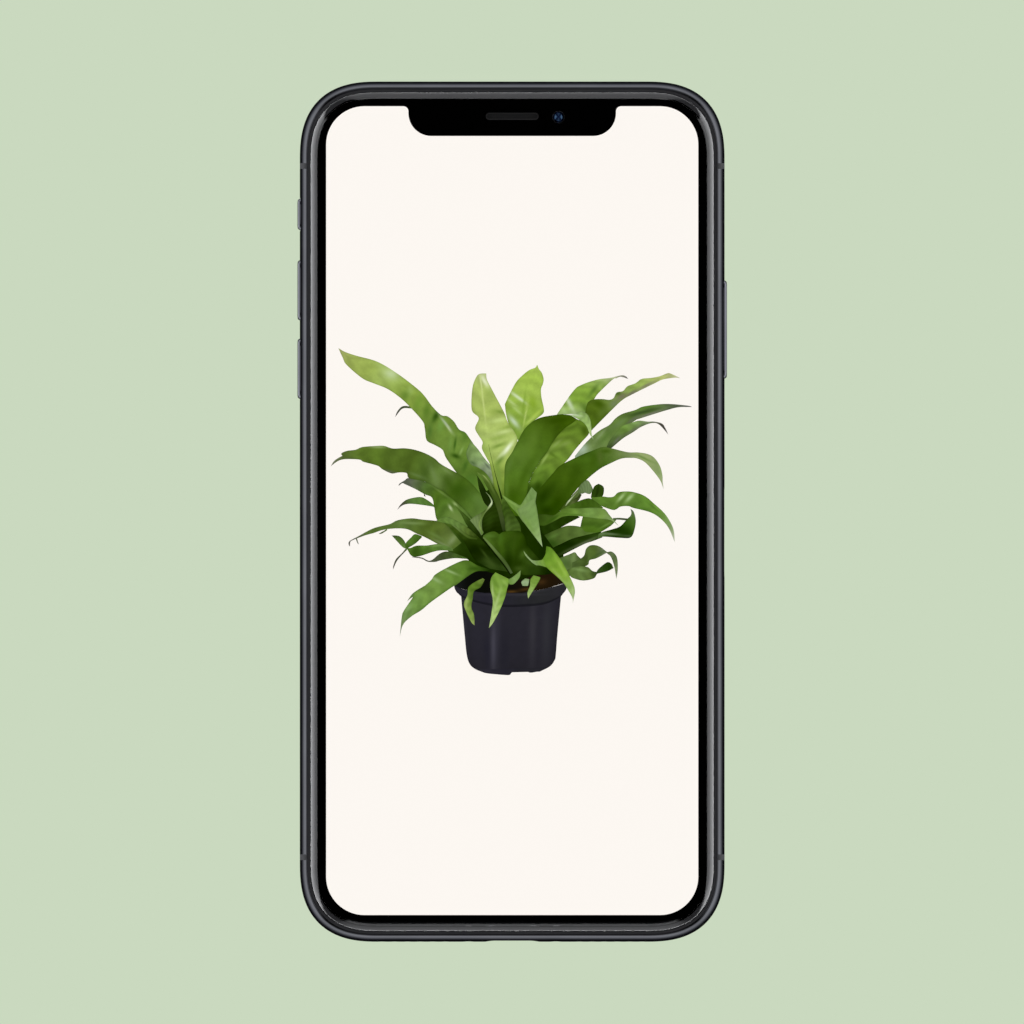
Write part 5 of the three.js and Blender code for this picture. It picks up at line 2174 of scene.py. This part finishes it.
         ((40, 68, 16), (46, 76, 20), (46, 76, 18), (46, 76, 20), (42, 68, 20)),
         waves=4),
    Leaf((1168, 732, 1124, 699, 1096, 696, 1052, 713, 1012, 733),
         (1168, 734, 1140, 742, 1110, 742, 1074, 737, 1008, 740),
         ((80, 120, 40), (72, 112, 32), (66, 106, 27), (76, 118, 36), (92, 136, 50)),
         ripple=0.03),
    Leaf((1086, 764, 1079, 790, 1070, 834),
         (1224, 782, 1200, 808, 1146, 842),
         ((88, 128, 46), (78, 122, 36), (86, 132, 36)),
         ripple=0.04, waves=2, touches=((1180, 805, 30, 4, -28, (118, 165, 75), 0.6),)),
    Leaf((1234, 810, 1196, 765, 1172, 738, 1130, 733, 1074, 735, 1008, 735, 985, 751, 964, 764,
          930, 760, 897, 760),
         (1234, 810, 1200, 785, 1152, 779, 1052, 767, 1002, 771, 950, 798, 925, 808, 900, 806),
         ((150, 170, 130), (128, 164, 92), (116, 158, 70), (116, 162, 74), (112, 158, 66), (102,
          148, 54), (90, 130, 46), (70, 106, 34), (62, 96, 28)),
         ripple=0.04, waves=6, fold=0.04, touches=((960, 780, 30, 5, -30, (60, 106, 24), 0.7),
         (1050, 762, 50, 3, 4, (70, 120, 32), 0.6))),
    Leaf((925, 846, 975, 824, 1019, 808, 1074, 812, 1096, 832, 1155, 836),
         (964, 900, 985, 905, 1019, 893, 1074, 862, 1130, 842, 1158, 838),
         ((70, 104, 38), (84, 116, 48), (88, 120, 52), (92, 126, 56), (92, 130, 54), (84, 122,
          44)),
         waves=4, touches=((965, 850, 30, 7, -25, (98, 145, 62), 0.6), (960, 880, 26, 14, 20, (52,
         92, 26), 0.7))),
    Leaf((1160, 832, 1050, 858, 1000, 880, 960, 900, 940, 920),
         (1165, 856, 1124, 872, 1085, 886, 980, 940),
         ((50, 84, 24), (48, 80, 22), (44, 72, 20), (36, 64, 16), (34, 60, 14), (38, 66, 20)),
         waves=3, touches=((1090, 878, 70, 6, -24, (106, 120, 88), 0.8), (1020, 912, 30, 6, -28,
         (80, 100, 56), 0.7))),
    Leaf((1281, 737, 1295, 751, 1303, 785, 1298, 823, 1282, 856, 1240, 858, 1168, 853, 1146, 862),
         (1281, 737, 1285, 755, 1280, 768, 1267, 780, 1240, 809, 1210, 821, 1170, 832, 1150, 842),
         ((100, 110, 92), (92, 122, 70), (72, 116, 38), (50, 90, 22), (38, 72, 16), (44, 80, 20),
          (58, 98, 30), (92, 128, 62)),
         ripple=0.04, waves=4, touches=((1292, 790, 8, 34, -5, (84, 132, 46), 0.7), (1270, 850, 30,
         4, 0, (100, 120, 88), 0.6), (1200, 842, 40, 5, 4, (112, 136, 98), 0.8), (1165, 842, 14, 8,
         0, (108, 140, 88), 0.7))),
    Leaf((1208, 776, 1235, 775, 1270, 778),
         (1210, 782, 1235, 783, 1268, 786),
         ((96, 118, 78), (80, 100, 60), (70, 92, 50)),
         ripple=0.0),
    Leaf((990, 940, 1030, 925, 1052, 917, 1064, 932, 1080, 944, 1095, 938),
         (1000, 1000, 1030, 1015, 1060, 985, 1100, 968, 1106, 955),
         ((96, 128, 64), (102, 134, 70), (108, 138, 76), (80, 106, 50), (74, 100, 44)),
         ripple=0.06, waves=3, touches=((1030, 970, 30, 16, 20, (80, 112, 50), 0.6), (1010, 960,
         12, 20, 0, (76, 116, 50), 0.6))),
    Leaf((1186, 917, 1151, 892, 1118, 888, 1098, 903, 1090, 930, 1072, 945, 1040, 960),
         (1186, 918, 1141, 942, 1113, 950, 1107, 968, 1085, 978, 1040, 985),
         ((112, 130, 95), (96, 118, 74), (90, 122, 52), (86, 116, 52), (76, 102, 44), (80, 108,
          50), (86, 116, 56)),
         waves=3, touches=((1150, 925, 34, 5, -28, (72, 104, 50), 0.7),)),
    Leaf((1018, 990, 1060, 975, 1104, 978, 1124, 994, 1146, 998, 1160, 990),
         (1030, 1012, 1042, 1023, 1085, 1034, 1130, 1025, 1144, 1006, 1164, 1000),
         ((86, 118, 52), (98, 132, 62), (102, 136, 66), (92, 122, 56), (66, 92, 40), (56, 82, 34)),
         waves=4, touches=((1075, 990, 34, 6, 10, (128, 168, 92), 0.75),)),
    Leaf((1140, 1000, 1150, 985, 1185, 958, 1204, 966, 1208, 976),
         (1144, 1006, 1185, 996, 1212, 982),
         ((56, 86, 34), (60, 96, 38), (50, 88, 28), (44, 80, 22), (60, 96, 36)),
         ripple=0.04),
    Leaf((1223, 1028, 1229, 985, 1225, 938, 1205, 915, 1182, 917),
         (1223, 1028, 1214, 975, 1200, 936, 1182, 920),
         ((150, 158, 135), (118, 138, 96), (118, 142, 92), (104, 130, 78), (92, 118, 68), (100,
          122, 78), (84, 104, 60)),
         ripple=0.03),
    # the leaves that hang over the pot
    Leaf((359, 1120, 384, 1086, 430, 1056),
         (359, 1120, 386, 1100, 440, 1080),
         ((110, 120, 90), (104, 145, 75), (100, 150, 62), (105, 158, 62)),
         ripple=0.0),
    Leaf((329, 1266, 337, 1188, 345, 1160, 381, 1106, 392, 1083, 425, 1061, 459, 1031, 481, 1005,
          564, 961, 608, 950, 652, 972, 702, 989),
         (329, 1266, 343, 1216, 376, 1183, 420, 1155, 459, 1122, 541, 1064, 564, 1050, 636, 1000,
          680, 995, 702, 991),
         ((150, 160, 140), (114, 144, 90), (108, 152, 74), (112, 160, 70), (116, 162, 70), (116,
          162, 70), (110, 156, 64), (102, 150, 56), (92, 138, 48), (72, 112, 34), (38, 66, 18)),
         waves=8, slant=-0.9, touches=((362, 1150, 26, 10, -55, (140, 185, 110), 0.7), (400, 1110,
         40, 10, -48, (124, 176, 84), 0.5), (478, 1030, 30, 8, 30, (150, 190, 118), 0.8), (540,
         998, 34, 5, 22, (160, 196, 130), 0.75), (440, 1135, 60, 4, -36, (84, 130, 50), 0.6), (530,
         1068, 60, 4, -34, (84, 130, 48), 0.6), (640, 985, 30, 8, 0, (58, 100, 26), 0.7))),
    Leaf((1043, 1128, 1052, 1078, 1041, 1039, 1002, 961, 975, 923, 953, 898, 934, 892),
         (1043, 1128, 1041, 1105, 1019, 1066, 997, 1036, 936, 981, 915, 955, 930, 930),
         ((170, 190, 150), (145, 182, 105), (140, 184, 90), (132, 182, 66), (128, 180, 56), (125,
          178, 55), (110, 165, 48), (92, 145, 40)),
         ripple=0.03, touches=((1043, 1085, 5, 30, -5, (170, 200, 130), 0.7), (1000, 985, 60, 6,
         60, (150, 196, 80), 0.7), (960, 960, 50, 8, 50, (112, 165, 50), 0.6), (985, 1015, 40, 5,
         48, (150, 185, 105), 0.6))),
    Leaf((839, 910, 868, 944, 884, 951, 908, 950, 922, 945),
         (839, 910, 850, 934, 886, 968, 908, 972, 936, 980),
         ((130, 160, 95), (135, 168, 105), (140, 172, 112), (128, 165, 98), (122, 168, 75), (120,
          170, 60)),
         ripple=0.03),
    Leaf((754, 681, 806, 713, 826, 722, 840, 704, 873, 648),
         (754, 686, 782, 724, 815, 760, 842, 796, 862, 790, 880, 760, 895, 672),
         ((116, 160, 70), (106, 152, 60), (116, 162, 72), (124, 168, 84), (124, 166, 88), (122,
          162, 88)),
         ripple=0.03, touches=((790, 712, 40, 4, 32, (140, 185, 92), 0.7), (870, 700, 14, 40, 10,
         (104, 150, 72), 0.6))),
    Leaf((918, 895, 897, 751, 889, 707, 892, 690),
         (918, 895, 842, 796, 826, 772, 815, 740),
         ((160, 190, 135), (146, 184, 110), (130, 172, 92), (124, 168, 84), (122, 164, 86), (124,
          164, 90)),
         ripple=0.02, touches=((860, 800, 40, 6, 55, (112, 162, 66), 0.6), (880, 770, 16, 40, -6,
         (122, 170, 86), 0.5))),
    Leaf((638, 1219, 636, 1177, 625, 1144, 630, 1110, 636, 1078, 663, 1061, 680, 1030),
         (638, 1219, 624, 1205, 600, 1155, 594, 1127, 608, 1094, 613, 1061, 641, 1039, 672, 1024),
         ((140, 160, 90), (130, 165, 75), (125, 160, 70), (120, 155, 68), (96, 138, 46), (92, 132,
          44), (110, 140, 62)),
         fold=0.08, touches=((602, 1130, 6, 34, 5, (165, 190, 110), 0.7), (625, 1105, 8, 24, 5,
         (84, 125, 40), 0.6))),
    Leaf((697, 1230, 707, 1171, 713, 1116, 702, 1061, 707, 1022, 724, 1000),
         (697, 1230, 713, 1210, 740, 1160, 763, 1105, 774, 1061, 785, 1030),
         ((170, 200, 120), (165, 202, 115), (150, 192, 98), (130, 178, 72), (118, 168, 60), (120,
          170, 62)),
         waves=6, slant=1.2, touches=((745, 1060, 40, 8, 75, (140, 188, 82), 0.6), (715, 1035, 14,
         26, 0, (104, 156, 52), 0.6), (730, 1120, 50, 6, 108, (170, 205, 125), 0.7), (765, 1045,
         26, 6, 50, (150, 195, 95), 0.6), (712, 1080, 5, 40, -4, (180, 208, 140), 0.6))),
    Leaf((828, 992, 798, 1017, 776, 1030),
         (828, 994, 824, 1020, 800, 1048, 782, 1050),
         ((130, 165, 95), (120, 165, 80), (128, 172, 90), (110, 158, 66)),
         ripple=0.02),
    Leaf((836, 1056, 831, 1040, 846, 1025),
         (858, 1056, 862, 1042, 864, 1028),
         ((140, 172, 115), (150, 180, 130), (130, 165, 100)),
         ripple=0.02),
    Leaf((859, 1108, 856, 1084, 866, 1056, 868, 1030, 881, 1012),
         (859, 1108, 904, 1036, 909, 1020),
         ((165, 195, 120), (150, 190, 100), (135, 180, 80), (118, 165, 62), (112, 158, 60)),
         ripple=0.03),
)


class FernPicture:
    """The potted fern that the display shows, drawn as thin leaves of colour on the lit panel."""

    LAYER = "picture"
    SCALE = 0.04046  # mm for one unit of the drawing
    LEFT = -32.09  # mm: the drawing's left edge
    TOP = 30.33  # mm: its top edge
    LIFT = 0.0012  # mm between one leaf and the next
    FINE = 5.0  # units: how close the points of a leaf are
    START = 0.004  # mm from the panel to the first leaf

    def __init__(self, level: float) -> None:
        """Starts at a height.

        Args:
            level: the height of the lit panel's face.
        """
        self.level = level + self.START

    @classmethod
    def paint_all(cls, piece: Piece, colour: Colour) -> None:
        """Gives a whole piece one colour of the picture."""
        layer = piece.data.color_attributes.new(cls.LAYER, "FLOAT_COLOR", "POINT")
        layer.data.foreach_set("color", [*colour, 1.0] * len(piece.data.vertices))

    @staticmethod
    def _curve(flat: Flat) -> list[Vector]:
        """A smooth line through an edge's points.

        Args:
            flat: x and y by turns.

        Returns:
            Many points along it.
        """
        points = [Vector(pair) for pair in zip(flat[::2], flat[1::2])]
        ends = [2 * points[0] - points[1], *points, 2 * points[-1] - points[-2]]
        line = []
        for before, start, end, after in zip(ends, ends[1:], ends[2:], ends[3:]):
            second = 2 * before - 5 * start + 4 * end - after
            third = 3 * start - before - 3 * end + after
            for t in (step / 8 for step in range(8)):
                bend = (end - before) * t + second * t * t + third * t ** 3
                line.append(start + 0.5 * bend)
        return line + [points[-1]]

    @staticmethod
    def _spread(line: Sequence[Vector], count: int) -> list[Vector]:
        """Even steps along a line.

        Args:
            line: its points.
            count: how many steps.

        Returns:
            One point more than that.
        """
        marks = [0.0]
        for one, two in zip(line, line[1:]):
            marks.append(marks[-1] + (two - one).length)
        spread, place = [], 0
        for step in range(count + 1):
            goal = marks[-1] * step / count
            while place < len(line) - 2 and marks[place + 1] < goal:
                place += 1
            span = marks[place + 1] - marks[place]
            share = (goal - marks[place]) / span if span else 0.0
            spread.append(line[place].lerp(line[place + 1], share))
        return spread

    def _leaf(self, shape: Leaf, level: float) -> Piece:
        """One shape as a fine painted sheet.

        Args:
            shape: its edges and colours.
            level: its height.

        Returns:
            The sheet.
        """
        upper, lower = self._curve(shape.upper), self._curve(shape.lower)
        length = max(sum((b - a).length for a, b in zip(line, line[1:])) for line in (upper, lower))
        along = max(4, round(length / self.FINE))
        upper, lower = self._spread(upper, along), self._spread(lower, along)
        across = max(3, round(max((a - b).length for a, b in zip(upper, lower)) / self.FINE))
        turn = sum((b - a).cross(d - a) for a, b, d in zip(upper, lower, upper[1:]))
        Workshop.clear()
        bpy.ops.mesh.primitive_grid_add(x_subdivisions=across, y_subdivisions=along, size=1.0)
        sheet = bpy.context.object
        layer = sheet.data.color_attributes.new(self.LAYER, "FLOAT_COLOR", "POINT")
        for vertex, paint in zip(sheet.data.vertices, layer.data):
            side = vertex.co.x + 0.5 if turn < 0 else 0.5 - vertex.co.x
            row = round((vertex.co.y + 0.5) * along)
            point = upper[row].lerp(lower[row], side)
            paint.color = (*shape.colour(row / along, side, *point), 1.0)
            vertex.co = (self.LEFT + point.x * self.SCALE, self.TOP - point.y * self.SCALE, level)
        return sheet

    def build(self, phone: Phone) -> None:
        """Draws every shape, each a little above the last.

        Args:
            phone: takes the picture.
        """
        sheets = [self._leaf(shape, self.level + self.LIFT * i) for i, shape in enumerate(FERN)]
        phone.settle(Workshop.join("fern_picture", sheets), Finishes.DISPLAY, smooth=None)


# ---------- the back
@dataclass
class BackFace:
    """The back glass with its seal, the camera island, and what lies just behind the glass."""

    front: FrontFace = field(default_factory=FrontFace)
    island: Point2 = (23.4, 50.0)
    island_size: Point2 = (13.0, 27.4)
    ring: float = 0.75
    play: float = 0.05
    deep: float = 0.85
    window: Point2 = (0.1, 0.75)
    spread: float = 7.0
    half: float = 5.2
    module: Point2 = (1.75, 5.2)
    barrel: Point2 = (4.3, 0.85)
    # radii and depths of the rings round a lens
    rings: tuple[Point2, ...] = (
        (3.75, 0.0), (3.7, 0.05), (3.45, 0.05), (3.4, 0.12), (3.3, 0.3), (2.9, 0.34), (2.86, 0.42),
        (2.5, 0.46),
    )
    flash_right: float = 3.2
    flash_radius: float = 1.9
    flash_ribs: int = 7
    flash_heights: Point2 = (0.8, 1.65)

    def _island(self, grow: float) -> Outline:
        """The camera island's outline, let out by grow."""
        width, height = (size + 2 * grow for size in self.island_size)
        return pill(width, height, self.island, 20)

    @staticmethod
    def _turn_over(piece: Piece) -> None:
        """Mirrors a piece front to back about the body's middle height.

        Args:
            piece: the piece.
        """
        Workshop.pick(piece)
        bpy.ops.object.mode_set(mode="EDIT")
        bpy.ops.mesh.select_all(action="SELECT")
        mesh = bmesh.from_edit_mesh(piece.data)
        for vertex in mesh.verts:
            vertex.co.z = BODY.thick - vertex.co.z
        bmesh.update_edit_mesh(piece.data)
        bpy.ops.mesh.normals_make_consistent(inside=False)
        bpy.ops.object.mode_set(mode="OBJECT")

    def build(self, phone: Phone) -> None:
        """Makes the back's pieces.

        Args:
            phone: takes the pieces.
        """
        glass = self.front.glass_plate("rear_glass")
        self._turn_over(glass)
        Workshop.cut(glass, Workshop.rise("hole", self._island(0.0), [(0, -1.0), (0, 2.0)]))
        phone.settle(glass, Finishes.BACK, replaces=["back_glass"])
        seal = Workshop.rise("rear_seal", BODY.outline, self.front.seal_section(), ends=False)
        self._turn_over(seal)
        phone.settle(seal, Finishes.SEAL, replaces=["rear_gasket"])
        self._surround(phone)
        self._cameras(phone)
        self._flash(phone)

    def _surround(self, phone: Phone) -> None:
        """The polished ring round the island and its clear window.

        Args:
            phone: takes the pieces.
        """
        outer = quarter_round(0.0, 0.2, 6, up=False)
        inner = [(self.ring - i, h) for i, h in reversed(outer)]
        section = [(0.0, self.deep), *outer, *inner, (self.ring, self.deep), (0.0, self.deep)]
        ring = Workshop.rise("island_ring", self._island(-self.play), section, ends=False)
        phone.settle(ring, Finishes.METAL, replaces=["camera_surround"])
        low, high = self.window
        edge = quarter_round(low, 0.12, 4, up=False)
        shape = self._island(-self.ring - 2 * self.play)
        window = Workshop.rise("island_window", shape, [(0.0, high), *edge])
        phone.settle(window, Finishes.GLASS, replaces=["camera_window"])

    def _cameras(self, phone: Phone) -> None:
        """The two rear cameras with their ringed barrels and domed lenses.

        Args:
            phone: takes the pieces.
        """
        x, middle = self.island
        low, high = self.module
        radius, face = self.barrel
        inner, half = low + 0.15, self.half
        profile = [(0.0, inner), (radius, inner), (radius, face + 0.1), (radius - 0.1, face)]
        profile += [(wide, face + deep) for wide, deep in self.rings] + [(2.46, 1.5), (0.0, 1.5)]
        turns = [math.pi / 2 * i / 12 for i in range(13)]
        dome = [(2.2 * math.sin(a), 1.3 - 0.42 * math.cos(a)) for a in turns]
        for sign, word in ((1, "upper"), (-1, "lower")):
            y = middle + sign * self.spread
            box = Workshop.block("box", (x - half, y - half, low), (x + half, y + half, high), 0.3)
            barrel = Workshop.turned("barrel", (x, y), profile, 72)
            whole = Workshop.join(f"{word}_camera_barrel", [box, barrel])
            phone.settle(whole, Finishes.PLASTIC, replaces=[f"rear_camera_{word}"])
            shape = [*dome, (2.2, 1.42), (0.0, 1.45)]
            lens = Workshop.turned(f"{word}_camera_lens", (x, y), shape, 64)
            phone.settle(lens, Finishes.LENS, replaces=[f"rear_lens_{word}"])

    def _flash(self, phone: Phone) -> None:
        """The flash's ribbed diffuser.

        Args:
            phone: takes the piece.
        """
        x, y = self.island[0] + self.flash_right, self.island[1]
        low, high = self.flash_heights
        full = self.flash_radius
        pitch = full * 0.85 / self.flash_ribs
        profile: list[Point2] = []
        for rib in range(self.flash_ribs):
            profile += [(pitch * rib, low + 0.05), (pitch * (rib + 0.5), low)]
        profile += [(full * 0.85, low + 0.05), (full * 0.9, low), (full - 0.04, low),
                    (full, low + 0.04), (full, high), (0.0, high)]
        lamp = Workshop.turned("flash_diffuser", (x, y), profile)
        phone.settle(lamp, Finishes.FLASH, replaces=["flash_module"])


# ---------- inside
class Inside:
    """The sealed inner pieces, which keep their solids and get their finishes."""

    FINISHES = {
        "earpiece_speaker": Finishes.PLASTIC,
        "face_sensor": Finishes.PLASTIC,
        "proximity_sensor": Finishes.PLASTIC,
        "chassis_plate": Finishes.STEEL,
        "charging_coil": Finishes.COPPER,
        "sim_reader": Finishes.STEEL,
        "side_contact": Finishes.PLASTIC,
        "volume_contacts": Finishes.PLASTIC,
        "ring_switch_contact": Finishes.PLASTIC,
        "bottom_microphone": Finishes.PLASTIC,
        "loudspeaker": Finishes.PLASTIC,
        "haptic_motor": Finishes.STEEL,
        "battery": Finishes.WRAP,
        "logic_board": Finishes.BOARD,
        "shield_can": Finishes.STEEL,
    }

    def build(self, phone: Phone) -> None:
        """Dresses the solids.

        Args:
            phone: keeps the frame.
        """
        for node, finish in self.FINISHES.items():
            phone.dress(node, finish)


# ---------- the studio
@dataclass
class Studio:
    """The pale floor, the soft light and the camera straight above the phone."""

    floor_colour: Colour = srgb(202, 217, 191)
    floor_size: float = 1.6
    floor_drop: float = 0.0002
    photo_pixels: float = 1024.0
    pixels_per_mm: float = 5.99
    centre: Point2 = (512.2, 511.65)
    camera_height: float = 0.5
    fill: float = 0.6
    full: float = 4.0
    # Brightness by height above the floor, in degrees; the boxes reach below the phone's level.
    side_light: tuple[Point2, ...] = (
        (-90, 0.02), (-72, 0.03), (-57, 0.2), (-44, 1.1), (-30, 2.3), (-16, 3.0), (0, 3.1),
        (8, 2.7), (18, 2.05), (30, 1.95), (38, 1.6), (51, 1.2), (60, 0.89), (66, 0.67),
        (72, 0.53), (78, 0.43), (80.5, 0.0),
    )
    end_light: tuple[Point2, ...] = (
        (-90, 0.02), (-72, 0.03), (-57, 0.2), (-44, 1.1), (-30, 2.3), (-16, 3.0), (-4, 3.1),
        (6, 1.2), (14, 0.7), (30, 0.54), (46, 0.42), (56, 0.33), (63, 0.33), (69, 0.42),
        (78, 0.4), (80.5, 0.0),
    )
    corner_light: tuple[Point2, ...] = (
        (-90, 0.02), (-72, 0.03), (-57, 0.2), (-44, 1.0), (-30, 2.1), (-16, 2.6), (0, 2.2),
        (10, 0.3), (30, 0.03), (60, 0.0),
    )
    lean: float = 4.0  # degrees by which the light is tipped towards the phone's top
    side_slope: Point3 = (4.0, 68.0, 0.0)
    side_fade: Point2 = (30.0, 50.0)
    end_slope: Point3 = (2.0, 40.0, 30.0)
    end_fade: Point2 = (8.0, 34.0)
    ceiling: float = 92.0
    soft: float = 5.0

    def build(self) -> None:
        """Makes the floor, the light and the camera."""
        self._floor()
        self._sky()
        self._camera()

    def _floor(self) -> None:
        """A plain floor that shows its colour from above and lets the view through from below."""
        Workshop.clear()
        bpy.ops.mesh.primitive_plane_add(size=self.floor_size, location=(0, 0, -self.floor_drop))
        floor = bpy.context.object
        floor.name = "floor"
        material = bpy.data.materials.new("floor")
        material.use_nodes = True
        graph = Graph(material.node_tree)
        glow = graph.node("ShaderNodeEmission", None, {"Color": (*self.floor_colour, 1.0)})
        clear = graph.node("ShaderNodeBsdfTransparent")
        side = graph.node("ShaderNodeNewGeometry")
        inputs = {0: side.outputs["Backfacing"], 1: glow.outputs[0], 2: clear.outputs[0]}
        graph.output(graph.node("ShaderNodeMixShader", None, inputs))
        floor.data.materials.append(material)
        floor.visible_glossy = False
        floor.visible_diffuse = False
        floor.visible_transmission = True

    def _sky(self) -> None:
        """The light: an even ground for the camera, and four soft boxes for gloss."""
        world = bpy.data.worlds.new("studio")
        bpy.context.scene.world = world
        world.use_nodes = True
        graph = Graph(world.node_tree)
        direction = graph.node("ShaderNodeTexCoord").outputs["Generated"]
        parts = graph.node("ShaderNodeSeparateXYZ", None, {0: direction})
        x, y, z = (Value(graph, parts.outputs[i]) for i in range(3))
        cos, sin = math.cos(math.radians(self.lean)), math.sin(math.radians(self.lean))
        x, y, z = abs(x), abs(y * cos - z * sin), z * cos + y * sin
        degree = 180.0 / math.pi
        rise = z.call("ARCSINE") * degree
        turn = y.call("ARCTAN2", x) * degree
        sides = self._box(rise, turn, self.side_slope, self.side_fade)
        ends = self._box(rise, 90.0 - turn, self.end_slope, self.end_fade)
        corners = (1 - sides - ends).call("MAXIMUM", 0.0)
        boxes = ((self.side_light, sides), (self.end_light, ends), (self.corner_light, corners))
        side, end, corner = (self._by_height(graph, rise, light) * box for light, box in boxes)
        lights = (((0.97, 0.98, 1.0), side + end + corner), ((1.0, 1.0, 1.0), self.fill),
                  (self.floor_colour, 1.0))
        gloss, soft, plain = (
            graph.node("ShaderNodeBackground", None, {"Color": (*colour, 1.0), "Strength": power})
            for colour, power in lights
        )
        path = graph.node("ShaderNodeLightPath")
        inputs = {0: path.outputs["Is Diffuse Ray"], 1: gloss.outputs[0], 2: soft.outputs[0]}
        lit = graph.node("ShaderNodeMixShader", None, inputs)
        inputs = {0: path.outputs["Is Camera Ray"], 1: lit.outputs[0], 2: plain.outputs[0]}
        seen = graph.node("ShaderNodeMixShader", None, inputs)
        graph.node("ShaderNodeOutputWorld", None, {"Surface": seen.outputs[0]})

    def _by_height(self, graph: Graph, rise: Value, light: Sequence[Point2]) -> Value:
        """How bright a soft box is at each height.

        Args:
            graph: the world's nodes.
            rise: the height in degrees.
            light: pairs of height and brightness.

        Returns:
            The brightness.
        """
        stops = [((height + 90) / 180, (glow / self.full,) * 3) for height, glow in light]
        ramp = graph.node("ShaderNodeValToRGB", {"stops": stops}, {"Fac": (rise + 90.0) / 180.0})
        return Value(graph, ramp.outputs["Color"]) * self.full

    def _box(self, rise: Value, turn: Value, slope: Point3, fade: Point2) -> Value:
        """A soft box's shape: full height in its middle, lower and dimmer towards its ends.

        Args:
            rise: the height in degrees.
            turn: the angle from the box's middle, in degrees.
            slope: where its ceiling starts and ends to fall, and how low it ends.
            fade: where it starts to dim, and where it is gone.

        Returns:
            1 inside the box, 0 outside.
        """
        ceiling = turn.ramp(*slope[:2], self.ceiling, slope[2])
        return (ceiling - rise).ramp(-self.soft, self.soft) * turn.ramp(*fade, 1.0, 0.0)

    def _camera(self) -> None:
        """A camera without perspective, straight above, as wide as the photograph."""
        half = self.photo_pixels / 2
        x = (half - self.centre[0]) / self.pixels_per_mm * MM
        y = (self.centre[1] - half) / self.pixels_per_mm * MM
        Workshop.clear()
        bpy.ops.object.camera_add(location=(x, y, self.camera_height), rotation=(0.0, 0.0, 0.0))
        camera = bpy.context.object
        camera.name = "camera"
        camera.data.type = "ORTHO"
        camera.data.ortho_scale = self.photo_pixels / self.pixels_per_mm * MM
        camera.data.clip_start = 0.01
        camera.data.clip_end = 5.0
        bpy.context.scene.camera = camera
        bpy.context.scene.view_settings.view_transform = "Standard"


def main() -> None:
    """Builds the phone piece by piece."""
    logging.basicConfig(level=logging.INFO, format="%(message)s")
    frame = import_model()
    phone = Phone(frame)
    controls, bottom = Controls(), BottomEnd()
    for part in (MetalBand(controls, bottom), controls, bottom, FrontFace(), Screen(), BackFace(),
                 Inside()):
        part.build(phone)
    Studio().build()


if __name__ == "__main__":
    main()
